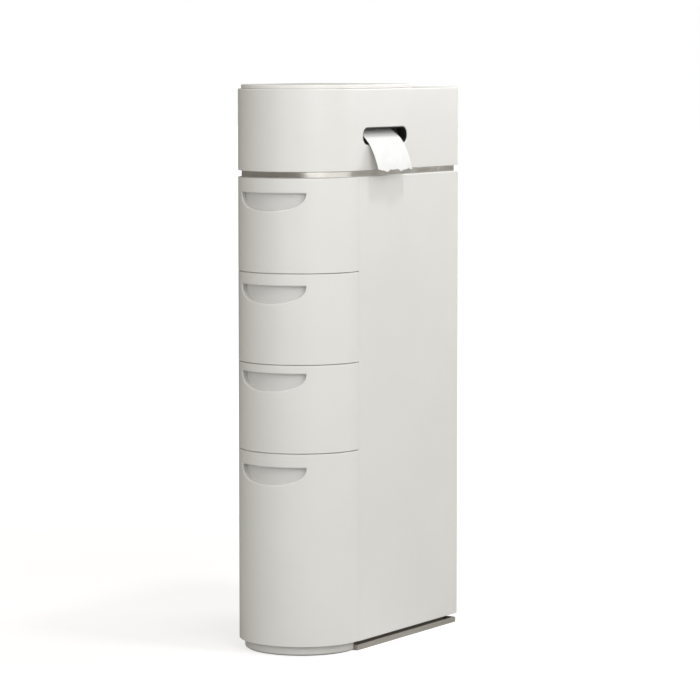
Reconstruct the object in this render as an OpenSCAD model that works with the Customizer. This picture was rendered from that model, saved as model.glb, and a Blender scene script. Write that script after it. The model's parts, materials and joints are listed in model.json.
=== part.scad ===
// Slim bathroom storage tower: four drawers with half-round fronts, and over them a box
// with a flip lid that holds a roll of paper and feeds it out through a slot in its side.
// The tower stands on z = 0, its round nose faces -Y, and the origin is the middle of its
// footprint. Drawers are numbered from the lowest, 1, to the highest, 4.

/* [Tower] */
// Width across the two flat sides
tower_w = 200; // [190:1:230]
// Depth from the front of the round nose to the back
tower_d = 420; // [400:1:500]
// Height of the body's lower edge above the floor
base_h = 15; // [14:0.5:22]
// Thickness of the moulded outer walls
wall_t = 3; // [2.4:0.1:3.4]
// Radius of the two rear corners
corner_r = 4; // [3.5:0.5:8]

/* [Base] */
// How far the plinth stands in from the body's sides
plinth_inset = 2.5; // [2:0.5:12]
// Height of the plinth's outer rim
plinth_h = 8.5; // [5:0.5:9]
// How far the toe skirt stands in under the nose
skirt_inset = 9; // [8:0.5:12]
// Thickness of the toe skirt
skirt_t = 3; // [2:0.1:4]
// Gap under and over the toe skirt
skirt_gap = 1; // [0.6:0.1:2]

/* [Drawers] */
// Height of each drawer front, from the lowest to the highest
drawer_heights = [305.5, 139, 142.5, 148]; // [120:0.5:340]
// Seam between neighbouring fronts
seam_gap = 1.2; // [0.8:0.1:2]
// How far a front runs on past the half circle, along the sides
front_tail = 11; // [8:0.5:20]
// Length of rail that stays in front of the glide shoes when a drawer is fully out
rail_hold = 30; // [20:1:120]
// Thickness of the tray's walls and floor
tray_t = 2; // [1.6:0.1:3]
// How far the tray's sides stand in from the tower's sides
tray_inset = 14; // [13.5:0.5:18]
// How far the tray stops short of the tower's back
tray_back_gap = 25; // [20:1:40]
// How far the tray's rim lies below the top of its front
rim_drop = 17; // [16:0.5:24]
// Width of the flange along the tray's rim
rim_w = 8; // [7:0.5:9]
// Thickness of the flange along the tray's rim
rim_t = 2.5; // [2:0.1:3]

/* [Finger recess] */
// How far the recess lies below the top of each front, from the lowest drawer up
pull_drops = [22.5, 14, 19.5, 23.5]; // [13.5:0.5:30]
// Length of the recess along the curved front
pull_l = 128; // [90:1:132]
// Height of the recess
pull_h = 29; // [20:0.5:32]
// Depth of the recess
pull_depth = 10.5; // [6:0.5:10.5]
// Wall of the cup behind the recess
cup_t = 1.5; // [1:0.1:2]

/* [Shelves] */
// Thickness of the shelves
shelf_t = 3; // [2.4:0.1:4]
// Gap between a shelf's round nose and the drawer fronts
nose_gap = 1.2; // [0.8:0.1:3]
// Height of the flange along a shelf's sides
flange_h = 9; // [7:0.5:10]
// Thickness of the flange along a shelf's sides
flange_t = 2.5; // [2:0.1:3]

/* [Rails] */
// Thickness of a rail's web and legs
rail_t = 2; // [1.6:0.1:2.4]
// Depth of a rail from the panel to the tips of its legs
rail_w = 7.5; // [6:0.5:8]
// Play over the tray's flange in its rail
rail_play = 0.8; // [0.6:0.1:1.2]
// Length of the glide shoe on the tray's rear corner
shoe_l = 14; // [10:1:18]

/* [Trim band] */
// Height of the bright band between the body and the top box
band_h = 10; // [6:0.5:16]
// How far the band stands in from the body's sides
band_inset = 5.5; // [4:0.5:8]
// Thickness of the band
band_t = 2.5; // [1.5:0.1:3]

/* [Top box] */
// Height of the top box
box_h = 128; // [122:1:160]
// Width of the rim round the box's mouth
mouth_rim = 12; // [10:0.5:14]
// Room from the middle of the roll to the wall behind it
roll_room = 78; // [74:1:100]
// Thickness of the wall behind the roll
partition_t = 3; // [2:0.1:4]

/* [Lid] */
// Height of the lid over the box
lid_h = 6; // [5:0.5:10]
// Gap between the closed lid and the box
lid_gap = 0.5; // [0.3:0.1:1]
// How far the lid stands in from the box's sides
lid_inset = 5; // [4:0.5:8]
// Thickness of the lid's skin
lid_t = 2.5; // [2:0.1:3]
// Depth of the locating lip below the lid
lip_h = 4; // [2:0.5:6]
// Thickness of the locating lip
lip_t = 2; // [1.5:0.1:3]
// Radius of a hinge pin
pin_r = 1.2; // [1:0.1:1.4]
// Length of a hinge pin
pin_l = 30; // [26:1:40]
// Width of a hinge lug
lug_w = 14; // [10:1:20]
// Distance between the middles of the two hinge lugs
lug_spacing = 120; // [80:1:140]

/* [Paper slot] */
// Length of the slot
slot_l = 133.5; // [110:0.5:140]
// Height of the slot
slot_h = 27; // [22:0.5:34]
// Height of the slot's middle over the underside of the box
slot_up = 53.5; // [45:0.5:70]
// How far the dark sleeve in the slot reaches inwards
sleeve_l = 16; // [12:1:24]
// Wall of the dark sleeve
sleeve_t = 1.3; // [1:0.1:2]

/* [Paper roll] */
// Width of the paper
paper_w = 104; // [95:1:110]
// Outer radius of the roll
roll_r = 50; // [35:0.5:52]
// Outer radius of the cardboard core
core_r = 21; // [18:0.5:24]
// Thickness of the cardboard core
core_t = 1; // [0.6:0.1:1.5]
// How far the middle of the roll lies behind the centre of the round nose
roll_set_back = 90; // [74:1:110]
// Thickness of the solid that stands for the loose paper
paper_t = 0.6; // [0.4:0.1:1]
// Slope of the loose paper at its torn end
hang_angle = 79; // [70:1:88]

/* [Screws] */
// Radius of a screw's shank
screw_r = 1.95; // [1.5:0.05:2.2]
// Radius of a screw's head
head_r = 3.8; // [3:0.1:4]
// Height of a screw's head
head_h = 2.2; // [1.6:0.1:2.6]
// Radius of the boss round a screw
boss_r = 5; // [4.5:0.1:6]

/* [Fits] */
// Play round pins, studs and screw shanks, on the radius
fit = 0.05; // [0.02:0.01:0.08]
// Gap between a piece and the seat it is fitted into
seat_gap = 0.3; // [0.2:0.05:0.5]

/* [Hidden] */
$fn = 96;
eps = 1;
// How far shapes that join reach into each other
weld = 0.1;
half_w = tower_w / 2;
back_y = tower_d / 2;
nose_y = half_w - tower_d / 2;
tail_y = nose_y + front_tail;
drawer_count = 4;
drawers = [1:drawer_count];
sides = [-1, 1];

function sum_to(list, n) = n == 0 ? 0 : list[n - 1] + sum_to(list, n - 1);
// Height of the seam over drawer n; seam 0 is the body's lower edge.
function seam_z(n) = base_h + sum_to(drawer_heights, n);
body_top = seam_z(drawer_count);

// Shelf n lies over drawer n; shelf 0 is the floor of the body and the last is its deck.
function shelf_z(n) = n == 0 ? base_h : n == drawer_count ? body_top - shelf_t : seam_z(n) - shelf_t / 2;
shelf_r = half_w - wall_t - nose_gap;
inner_x = half_w - wall_t;
inner_back = back_y - wall_t;
// Lower end of a shelf's side flange: it stands up on the floor and hangs from the others.
function flange_z(n) = n == 0 ? base_h + shelf_t : shelf_z(n) - flange_h;
shelf_screw_x = 60;
shelf_boss_r = 4;
shelf_boss_l = 12;
screw_tip_gap = 2;
function shelf_boss_z(n) = flange_z(n) + (n == 0 ? shelf_boss_r : flange_h - shelf_boss_r);

// Tray
ledge_t = 2;
ledge_w = 17;
ledge_gap = 1.5;
tray_r = half_w - tray_inset;
tray_back = back_y - tray_back_gap;
tray_corner = 10;
function tray_z(n) = shelf_z(n - 1) + shelf_t + ledge_gap + ledge_t;
function rim_z(n) = seam_z(n) - rim_drop;
function tray_h(n) = rim_z(n) - tray_z(n);
front_rim_r = inner_x - seat_gap;

// Screws between the tray's rim and the drawer front
front_screw_angles = [-80, -60, 60, 80];
front_screw_inset = 4;
front_screw_ring = inner_x - front_screw_inset;
front_boss_r = 3.4;
front_boss_h = 16;
small_screw_r = 1.3;
small_head_r = 2.6;
small_head_h = 1.6;
drawer_screw_l = 12;

// Finger recess
pull_power = 2.3;
pull_steps = 32;
cup_rim = 2;
recess_r = half_w - pull_depth;
cup_back_r = recess_r - cup_t;
function pull_top(n) = seam_z(n) - pull_drops[n - 1];
// Half the width of the gap that the front of the tray's rim leaves for the cup
rim_cut = half_w * sin(pull_l / tower_w * 180 / PI) + 5;
function bow(v) = sign(v) * pow(abs(v), 2 / pull_power);
// Flat on top and a half superellipse below, measured along the curved front and laid
// flat again across the tower, so that it reads true on the round nose.
function pull_outline(grow) = [
    for (i = [0:pull_steps])
        let (
            along = (pull_l / 2 + grow) * bow(cos(180 * i / pull_steps)),
            down = (pull_h + grow) * bow(sin(180 * i / pull_steps))
        )
        [half_w * sin(along / half_w * 180 / PI), grow - down]
];

// Rails
rail_gap = 0.3;
rail_rise = rail_gap + rim_t + rail_play;
rail_set_back = 4;
rail_back_gap = 5;
rail_front = tail_y + rail_set_back;
rail_back = inner_back - rail_back_gap;
shoe_rise = 0.4;
shoe_grip = 12;
stop_l = 4;
stop_gap = 0.2;
tooth_gap = 0.15;
drawer_travel = tray_back - rail_front - rail_hold;
stop_y = tray_back - drawer_travel - stop_gap;
function rail_z(n) = rim_z(n) - rim_t - rail_gap - rail_t;
rail_h = rail_rise + 2 * rail_t;

// Studs on the side panels carry the rails and the shelves' flanges.
stud_r = 2;
rail_stud_ys = [tail_y + 30, (tail_y + back_y) / 2, back_y - 40];
shelf_stud_ys = [tail_y + 15, back_y - 70, back_y - 25];
function flange_mid(n) = flange_z(n) + flange_h / 2;

// Base
plinth_floor = 3;
riser_inset = 17;
plinth_nose_r = half_w - skirt_inset - skirt_t - seat_gap;
rib_t = 2;
first_rib_y = nose_y + 45;
last_rib_y = back_y - 65;
rib_ys = [first_rib_y, (first_rib_y + last_rib_y) / 2, last_rib_y];
pad_r = 8;
pad_h = 6;
head_pocket = 3;
base_screw_x = 55;
base_screw_ys = [nose_y + 10, back_y - 50];

// Top box
box_z = body_top + band_h;
box_top = box_z + box_h;
box_floor = box_z + wall_t;
roll_y = nose_y + roll_set_back;
mouth_back = roll_y + roll_room;
collar_inset = band_inset + band_t + seat_gap;
collar_t = 3;
box_screw_x = 70;
box_screw_ys = [nose_y + 5, back_y - 30];
box_screw_l = 8;

// Lid and its hinge
lid_z = box_top + lid_gap;
barrel_r = lid_h / 2;
hinge_z = lid_z + barrel_r;
lid_overlap = 12;
lid_back = mouth_back + lid_overlap;
hinge_y = lid_back - barrel_r;
lug_clear = 0.5;
lug_reach = 5.5;
lug_notch = hinge_y - lug_reach;
lip_gap = 1.5;
lip_inset = mouth_rim + lip_gap;
lip_back = mouth_back - lip_gap;

// Slot and its sleeve
slot_y = roll_y;
slot_z = box_z + slot_up;
slot_flange = 4;
slot_flange_t = 2;
sleeve_gap = 0.15;
sleeve_set_back = 1;

// Roll and its holder
roll_floor_gap = 4;
roll_z = box_floor + roll_r + roll_floor_gap;
barrel_gap = 0.4;
spindle_r = core_r - core_t - barrel_gap;
spindle_over = 4;
journal_r = 5;
journal_l = 9;
bracket_t = 4;
bracket_w = 44;
bracket_foot = 12;
bracket_rise = 12;
bracket_top = roll_z + bracket_rise;
bracket_gap = 2;
bracket_y = paper_w / 2 + spindle_over + bracket_gap + bracket_t / 2;
bracket_screw_x = 15;
bracket_screw_y = bracket_y + bracket_foot / 2 + 1;
screw_bite = 2.5;

// Loose paper: straight off the roll, over the lip of the slot, then down.
free_r = roll_r + rail_gap + paper_t / 2;
bend_depth = 12;
bend_rise = 15.6;
bend_x = half_w - bend_depth;
bend_z = slot_z - slot_h / 2 + bend_rise;
bend_gap = norm([bend_x, bend_z - roll_z]);
leave_angle = asin(free_r / bend_gap) - atan2(bend_z - roll_z, bend_x);
lip_angle = 60;
lip_bend_r = 60;
hang_bend_r = 129;
bend_steps = 10;
function heading(a) = [cos(a), -sin(a)];
// Runs on from a point with a steady bend, from one slope to another.
function bend(start, from, to, r) = [
    for (i = [1:bend_steps])
        let (a = from + (to - from) * i / bend_steps)
        [start + r * [sin(a) - sin(from), cos(a) - cos(from)], a]
];
paper_start = [[0, roll_z] + free_r * [sin(leave_angle), cos(leave_angle)], leave_angle];
paper_bend = [[bend_x, bend_z], leave_angle];
paper_lip = bend(paper_bend[0], leave_angle, lip_angle, lip_bend_r);
paper_hang = bend(paper_lip[bend_steps - 1][0], lip_angle, hang_angle, hang_bend_r);
paper_path = concat([paper_start, paper_bend], paper_lip, paper_hang);
function paper_side(s) = [
    for (step = paper_path)
        step[0] + s * paper_t / 2 * [sin(step[1]), cos(step[1])]
];
function backwards(list) = [for (i = [len(list) - 1:-1:0]) list[i]];

// ---- outlines seen from above

// The tower's outline: a round nose of radius r, flat sides and rounded rear corners.
module outline(r, back, corner) {
    translate([0, nose_y])
        circle(r);
    translate([-r, nose_y])
        square([2 * r, back - nose_y - corner]);
    translate([corner - r, nose_y])
        square([2 * (r - corner), back - nose_y]);
    for (side = sides)
        translate([side * (r - corner), back - corner])
            circle(corner);
}

// The tower's outline, drawn in by inset all round.
module tower_outline(inset) {
    outline(half_w - inset, back_y - inset, max(corner_r - inset, 0.5));
}

// The part of a nose of radius r that lies in front of y = back.
module nose_outline(r, back) {
    intersection() {
        union() {
            translate([0, nose_y])
                circle(r);
            translate([-r, nose_y])
                square([2 * r, back - nose_y]);
        }
        translate([-half_w, nose_y - half_w])
            square([tower_w, back - nose_y + half_w]);
    }
}

// Between the side panels behind the fronts, and a round nose inside them.
module shelf_outline() {
    nose_outline(shelf_r, tail_y);
    translate([-inner_x, tail_y])
        square([2 * inner_x, inner_back - tail_y]);
}

// ---- small shapes

// A bar along X, centred on the origin.
module bar_x(r, l) {
    rotate([0, 90, 0])
        cylinder(r = r, h = l, center = true);
}

// A shank up from z = 0 with its head below it.
module screw(r, l, head, head_thick) {
    cylinder(r = r, h = l);
    translate([0, 0, -head_thick])
        cylinder(r = head, h = head_thick);
}

// A stadium of height h and length l along Y, drawn out along X.
module slot_bar(l, h, from_x, to_x) {
    translate([from_x, slot_y, slot_z]) {
        for (side = sides)
            translate([0, side * (l - h) / 2, 0])
                rotate([0, 90, 0])
                    cylinder(r = h / 2, h = to_x - from_x);
        translate([0, (h - l) / 2, -h / 2])
            cube([to_x - from_x, l - h, h]);
    }
}

// ---- base

module base_plinth() {
    color("#b9b4ab")
        difference() {
            union() {
                linear_extrude(plinth_floor)
                    plinth_outline(0);
                linear_extrude(plinth_h)
                    difference() {
                        plinth_outline(0);
                        plinth_outline(wall_t);
                    }
                linear_extrude(base_h)
                    difference() {
                        tower_outline(riser_inset);
                        tower_outline(riser_inset + wall_t);
                    }
                for (y = rib_ys)
                    translate([-(half_w - riser_inset - eps), y, 0])
                        cube([tower_w - 2 * (riser_inset + eps), rib_t, base_h]);
                for (x = [-base_screw_x, base_screw_x], y = base_screw_ys)
                    translate([x, y, 0])
                        cylinder(r = pad_r, h = pad_h);
            }
            for (x = [-base_screw_x, base_screw_x], y = base_screw_ys)
                translate([x, y, -eps]) {
                    cylinder(r = head_r + seat_gap, h = head_pocket + eps);
                    cylinder(r = screw_r + fit, h = pad_h + 2 * eps);
                }
        }
}

// Wide along the sides, and drawn in round the nose to leave room for the toe skirt.
module plinth_outline(inset) {
    translate([0, nose_y])
        circle(plinth_nose_r - inset);
    translate([-(plinth_nose_r - inset), nose_y])
        square([2 * (plinth_nose_r - inset), front_tail + 2 * inset]);
    translate([-(half_w - plinth_inset - inset), tail_y + inset])
        square([tower_w - 2 * (plinth_inset + inset), back_y - plinth_inset - tail_y - 2 * inset]);
}

module toe_skirt() {
    color("#e4e1db")
        translate([0, 0, skirt_gap])
            linear_extrude(base_h - 2 * skirt_gap)
                difference() {
                    nose_outline(half_w - skirt_inset, tail_y - skirt_gap);
                    nose_outline(half_w - skirt_inset - skirt_t, tail_y);
                }
}

module base_screws() {
    color("silver")
        for (x = [-base_screw_x, base_screw_x], y = base_screw_ys)
            translate([x, y, head_pocket])
                screw(screw_r, base_h - head_pocket - screw_tip_gap, head_r, head_h);
}

// ---- body

// Plain outside, with studs inside for the rails and the shelves' flanges.
module side_panel(side) {
    color("#ece9e4")
        mirror([side < 0 ? 1 : 0, 0, 0]) {
            translate([0, 0, base_h])
                linear_extrude(body_top - base_h)
                    intersection() {
                        tower_outline(0);
                        translate([inner_x, tail_y])
                            square([wall_t, back_y - tail_y]);
                    }
            for (n = drawers, y = rail_stud_ys)
                panel_stud(y, rail_z(n) + rail_h / 2, rail_t);
            for (n = [0:drawer_count], y = shelf_stud_ys)
                panel_stud(y, flange_mid(n), flange_t);
        }
}

module panel_stud(y, z, l) {
    translate([inner_x - l / 2 + eps / 2, y, z])
        bar_x(stud_r, l + eps);
}

module back_panel() {
    color("#e2dfd9")
        difference() {
            translate([-inner_x, inner_back, base_h])
                cube([2 * inner_x, wall_t, body_top - base_h]);
            for (n = [0:drawer_count], side = sides)
                translate([side * shelf_screw_x, back_y, shelf_boss_z(n)])
                    rotate([90, 0, 0]) {
                        translate([0, 0, -eps])
                            cylinder(r = screw_r + fit, h = wall_t + 2 * eps);
                        translate([0, 0, -eps])
                            cylinder(r = head_r + seat_gap, h = head_h + eps);
                    }
        }
}

module back_screws() {
    color("silver")
        for (n = [0:drawer_count], side = sides)
            translate([side * shelf_screw_x, back_y - head_h, shelf_boss_z(n)])
                rotate([90, 0, 0])
                    screw(screw_r, shelf_boss_l - screw_tip_gap, head_r, head_h);
}

// Shelf n with its side flanges and the two bosses for the screws from the back.
module shelf(n) {
    color("#e2dfd9")
        difference() {
            union() {
                translate([0, 0, shelf_z(n)])
                    linear_extrude(shelf_t)
                        shelf_outline();
                for (side = sides) {
                    translate([side * (inner_x - flange_t / 2), (tail_y + inner_back) / 2, flange_mid(n)])
                        cube([flange_t, inner_back - tail_y, flange_h + 2 * weld], center = true);
                    translate([side * shelf_screw_x, inner_back, shelf_boss_z(n)])
                        rotate([90, 0, 0])
                            cylinder(r = shelf_boss_r, h = shelf_boss_l);
                    translate([side * shelf_screw_x - rib_t / 2, inner_back - shelf_boss_l, flange_z(n)])
                        cube([rib_t, shelf_boss_l, flange_h]);
                }
            }
            for (side = sides) {
                translate([side * shelf_screw_x, inner_back + eps, shelf_boss_z(n)])
                    rotate([90, 0, 0])
                        cylinder(r = screw_r + fit, h = shelf_boss_l);
                for (y = shelf_stud_ys)
                    translate([side * (inner_x - flange_t / 2), y, flange_mid(n)])
                        bar_x(stud_r + fit, flange_t + eps);
            }
        }
}

// The floor of the body, with bosses under it for the screws through the plinth.
module base_shelf() {
    shelf(0);
    color("#e2dfd9")
        for (x = [-base_screw_x, base_screw_x], y = base_screw_ys)
            translate([x, y, pad_h])
                difference() {
                    cylinder(r = boss_r, h = base_h - pad_h);
                    translate([0, 0, -eps])
                        cylinder(r = screw_r + fit, h = base_h - pad_h + eps);
                }
}

// The last shelf, with the collar that carries the top box inside the bright band.
module top_deck() {
    shelf(drawer_count);
    color("#e2dfd9")
        translate([0, 0, body_top]) {
            linear_extrude(band_h)
                difference() {
                    tower_outline(collar_inset);
                    tower_outline(collar_inset + collar_t);
                }
            for (side = sides, y = box_screw_ys)
                translate([side * box_screw_x, y, 0])
                    difference() {
                        cylinder(r = boss_r, h = band_h);
                        cylinder(r = screw_r + fit, h = band_h + eps);
                    }
        }
}

// A channel that opens inwards; the tray's rim runs in it, and the tooth near its front
// end catches the glide shoe when the drawer is fully out.
module rail(n, side) {
    color("#d6d3cc")
        mirror([side < 0 ? 1 : 0, 0, 0])
            translate([inner_x, 0, rail_z(n)])
                difference() {
                    union() {
                        translate([-rail_t, rail_front, 0])
                            cube([rail_t, rail_back - rail_front, rail_h]);
                        for (z = [0, rail_h - rail_t])
                            translate([-rail_w, rail_front, z])
                                cube([rail_w, rail_back - rail_front, rail_t]);
                        translate([-rail_w, stop_y - stop_l, rail_h - rail_t - rail_play + tooth_gap])
                            cube([rail_w, stop_l, rail_play]);
                    }
                    for (y = rail_stud_ys)
                        translate([-rail_t / 2, y, rail_h / 2])
                            bar_x(stud_r + fit, rail_t + eps);
                }
}

// ---- drawers

// Puts its children at the four screws between the tray's rim and the front.
module at_front_screws(z) {
    for (a = front_screw_angles)
        translate([front_screw_ring * sin(a), nose_y - front_screw_ring * cos(a), z])
            rotate([0, 0, a])
                children();
}

// Drawn outline of the finger recess of drawer n, cut through from the front.
module pull_prism(n, grow) {
    translate([0, nose_y, pull_top(n)])
        rotate([90, 0, 0])
            linear_extrude(tower_w)
                polygon(pull_outline(grow));
}

// The half-round front with its ledge under the tray and its four screw bosses.
module drawer_front(n) {
    front_z = seam_z(n - 1) + seam_gap / 2;
    front_h = drawer_heights[n - 1] - seam_gap;
    boss_top = rim_z(n) - rim_t;
    color("#ece9e4")
        difference() {
            union() {
                translate([0, 0, front_z])
                    linear_extrude(front_h)
                        difference() {
                            nose_outline(half_w, tail_y - seat_gap);
                            nose_outline(inner_x, tail_y);
                        }
                translate([0, 0, tray_z(n) - ledge_t])
                    linear_extrude(ledge_t)
                        difference() {
                            nose_outline(inner_x + eps, tail_y - seat_gap);
                            nose_outline(inner_x - ledge_w, tail_y);
                        }
                at_front_screws(boss_top - front_boss_h)
                    front_boss();
            }
            pull_prism(n, 0);
        }
}

// A boss with its bore open at the top, and a rib that joins it to the wall
module front_boss() {
    rib_l = half_w - front_screw_ring - eps;
    difference() {
        union() {
            cylinder(r = front_boss_r, h = front_boss_h);
            translate([-rib_t / 2, -rib_l, 0])
                cube([rib_t, rib_l, front_boss_h]);
        }
        translate([0, 0, eps])
            cylinder(r = small_screw_r + fit, h = front_boss_h);
    }
}

// The cup that closes the finger recess from behind.
module finger_cup(n) {
    color("#d3d0ca")
        difference() {
            intersection() {
                pull_prism(n, cup_t);
                translate([0, nose_y, pull_top(n) - pull_h - cup_rim])
                    difference() {
                        cylinder(r = inner_x - seat_gap, h = pull_h + 2 * cup_rim);
                        translate([0, 0, -eps])
                            cylinder(r = cup_back_r, h = pull_h + 2 * (cup_rim + eps));
                    }
            }
            difference() {
                pull_prism(n, 0);
                translate([0, nose_y, pull_top(n) - pull_h - eps])
                    cylinder(r = recess_r, h = pull_h + 2 * eps);
            }
        }
}

// An open box with a round front, and a flange along its rim that runs in the rails.
module drawer_tray(n) {
    color("#dedbd5")
        difference() {
            union() {
                translate([0, 0, tray_z(n)])
                    linear_extrude(tray_h(n))
                        outline(tray_r, tray_back, tray_corner);
                translate([0, 0, rim_z(n) - rim_t])
                    linear_extrude(rim_t)
                        difference() {
                            nose_outline(front_rim_r, tail_y - seat_gap);
                            translate([-rim_cut, nose_y - half_w])
                                square([2 * rim_cut, half_w]);
                        }
                for (side = sides)
                    translate([side > 0 ? tray_r - eps : -tray_r - rim_w, rail_front, rim_z(n) - rim_t])
                        cube([rim_w + eps, tray_back - rail_front, rim_t]);
            }
            translate([0, 0, tray_z(n) + tray_t])
                linear_extrude(tray_h(n))
                    outline(tray_r - tray_t, tray_back - tray_t, tray_corner - tray_t);
            at_front_screws(rim_z(n) - rim_t - eps)
                cylinder(r = small_screw_r + fit, h = rim_t + 2 * eps);
        }
}

// Two shoes that carry the tray's rear end in the rails
module glide_shoes(n) {
    shoe_z = rim_z(n) - rim_t - rail_gap / 2;
    color("#c9c6bf")
        for (side = sides)
            translate([side > 0 ? tray_r - shoe_grip : -tray_r - rim_w, tray_back, shoe_z])
                cube([rim_w + shoe_grip, shoe_l, rim_z(n) + shoe_rise - shoe_z]);
}

module drawer_screws(n) {
    color("silver")
        at_front_screws(rim_z(n))
            mirror([0, 0, 1])
                screw(small_screw_r, drawer_screw_l, small_head_r, small_head_h);
}

// ---- bright band and top box

module trim_band() {
    color("silver")
        translate([0, 0, body_top])
            linear_extrude(band_h)
                difference() {
                    tower_outline(band_inset);
                    tower_outline(band_inset + band_t);
                }
}

// A box with a floor, a mouth under the lid, a fixed deck at the rear and two hinge lugs
module top_box() {
    color("#ece9e4")
        difference() {
            union() {
                difference() {
                    translate([0, 0, box_z])
                        linear_extrude(box_h)
                            tower_outline(0);
                    translate([0, 0, box_floor])
                        linear_extrude(box_h - 2 * wall_t)
                            tower_outline(wall_t);
                    translate([0, 0, box_top - wall_t - eps])
                        linear_extrude(wall_t + 2 * eps)
                            mouth_outline(mouth_rim);
                }
                for (side = sides)
                    translate([side * lug_spacing / 2, hinge_y, 0])
                        hinge_lug();
            }
            slot_bar(slot_l, slot_h, inner_x - eps, half_w + eps);
            for (side = sides) {
                translate([side * lug_spacing / 2, hinge_y, hinge_z])
                    bar_x(pin_r + fit, lug_w + eps);
                for (y = box_screw_ys)
                    translate([side * box_screw_x, y, box_z - eps])
                        cylinder(r = screw_r + fit, h = wall_t + 2 * eps);
                for (x = [-bracket_screw_x, bracket_screw_x])
                    translate([x, roll_y + side * bracket_screw_y, box_floor - screw_bite])
                        cylinder(r = small_screw_r + fit, h = screw_bite + eps);
            }
        }
}

module mouth_outline(inset) {
    intersection() {
        tower_outline(inset);
        translate([-half_w, -back_y])
            square([tower_w, mouth_back + mouth_rim - inset + back_y]);
    }
}

module hinge_lug() {
    translate([0, 0, hinge_z])
        bar_x(barrel_r, lug_w);
    translate([-lug_w / 2, -barrel_r, box_top - eps])
        cube([lug_w, 2 * barrel_r, hinge_z - box_top + eps]);
}

module box_screws() {
    color("silver")
        for (side = sides, y = box_screw_ys)
            translate([side * box_screw_x, y, box_floor])
                mirror([0, 0, 1])
                    screw(screw_r, box_screw_l + wall_t, head_r, head_h);
}

// Closes the hollow under the rear deck.
module box_partition() {
    color("#e2dfd9")
        translate([-inner_x, mouth_back, box_floor])
            cube([2 * inner_x, partition_t, box_h - 2 * wall_t]);
}

// Dark sleeve through the slot, with a flange against the inside of the wall
module slot_sleeve() {
    outer_l = slot_l - 2 * sleeve_gap;
    outer_h = slot_h - 2 * sleeve_gap;
    seat_l = outer_l + 2 * slot_flange;
    seat_h = outer_h + 2 * slot_flange;
    color("#202020")
        difference() {
            union() {
                slot_bar(outer_l, outer_h, half_w - sleeve_l, half_w - sleeve_set_back);
                slot_bar(seat_l, seat_h, inner_x - slot_flange_t, inner_x);
            }
            slot_bar(outer_l - 2 * sleeve_t, outer_h - 2 * sleeve_t, half_w - sleeve_l - eps, half_w + eps);
        }
}

// ---- paper roll

// An upright with a foot and an open notch for the end of the spindle
module roll_bracket(side) {
    color("#dedbd5")
        translate([0, roll_y + side * bracket_y, 0])
            difference() {
                union() {
                    translate([-bracket_w / 2, -bracket_t / 2, box_floor])
                        cube([bracket_w, bracket_t, bracket_top - box_floor]);
                    translate([-bracket_w / 2, side > 0 ? 0 : -bracket_foot, box_floor])
                        cube([bracket_w, bracket_foot, wall_t]);
                }
                translate([0, 0, roll_z]) {
                    rotate([90, 0, 0])
                        cylinder(r = journal_r + fit, h = bracket_t + eps, center = true);
                    translate([-journal_r - fit, -bracket_t / 2 - eps, 0])
                        cube([2 * (journal_r + fit), bracket_t + 2 * eps, bracket_top - roll_z + eps]);
                }
                for (x = [-bracket_screw_x, bracket_screw_x])
                    translate([x, side * (bracket_screw_y - bracket_y), box_floor - eps])
                        cylinder(r = small_screw_r + fit, h = wall_t + 2 * eps);
            }
}

module bracket_screws() {
    color("silver")
        for (side = sides, x = [-bracket_screw_x, bracket_screw_x])
            translate([x, roll_y + side * bracket_screw_y, box_floor + wall_t])
                mirror([0, 0, 1])
                    screw(small_screw_r, wall_t + screw_bite - seat_gap, small_head_r, small_head_h);
}

// The spindle turns with the roll, on a journal at each end.
module roll_spindle() {
    barrel_l = paper_w + 2 * spindle_over;
    color("#d6d3cc")
        translate([0, roll_y, roll_z])
            rotate([90, 0, 0]) {
                cylinder(r = spindle_r, h = barrel_l, center = true);
                cylinder(r = journal_r, h = barrel_l + 2 * journal_l, center = true);
            }
}

module roll_ring(outer, inner, w) {
    translate([0, roll_y, roll_z])
        rotate([90, 0, 0])
            difference() {
                cylinder(r = outer, h = w, center = true);
                cylinder(r = inner, h = w + eps, center = true);
            }
}

module roll_core() {
    color("#b69a76")
        roll_ring(core_r, core_r - core_t, paper_w);
}

module paper_roll() {
    color("white")
        roll_ring(roll_r, core_r, paper_w);
}

module loose_paper() {
    color("white")
        translate([0, roll_y + paper_w / 2, 0])
            rotate([90, 0, 0])
                linear_extrude(paper_w)
                    polygon(concat(paper_side(1), backwards(paper_side(-1))));
}

// ---- lid

// A shallow cap with a locating lip; its rear edge is a round barrel about the hinge pins.
module lid() {
    color("#ece9e4")
        difference() {
            union() {
                translate([0, 0, lid_z])
                    linear_extrude(lid_h)
                        lid_outline(lid_inset, hinge_y);
                translate([0, hinge_y, hinge_z])
                    bar_x(barrel_r, tower_w - 2 * lid_inset);
                translate([0, 0, lid_z - lip_h])
                    linear_extrude(lip_h + eps)
                        lip_ring();
            }
            translate([0, 0, lid_z - eps])
                linear_extrude(lid_h - lid_t + eps)
                    difference() {
                        lid_outline(lid_inset + lid_t, lug_notch - lid_t);
                        lip_ring();
                    }
            for (side = sides) {
                translate([side * lug_spacing / 2, (lug_notch + lid_back + eps) / 2, hinge_z])
                    cube([lug_w + 2 * lug_clear, lid_back + eps - lug_notch, lid_h + eps], center = true);
                translate([side * lug_spacing / 2, hinge_y, hinge_z])
                    bar_x(pin_r + fit, pin_l + eps);
            }
        }
}

module lid_outline(inset, back) {
    intersection() {
        tower_outline(inset);
        translate([-half_w, -back_y])
            square([tower_w, back + back_y]);
    }
}

// The locating lip seen from above
module lip_ring() {
    difference() {
        lid_outline(lip_inset, lip_back);
        lid_outline(lip_inset + lip_t, lip_back - lip_t);
    }
}

module hinge_pins() {
    color("silver")
        for (side = sides)
            translate([side * lug_spacing / 2, hinge_y, hinge_z])
                bar_x(pin_r, pin_l);
}

// ---- the pieces, each under its own name

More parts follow.
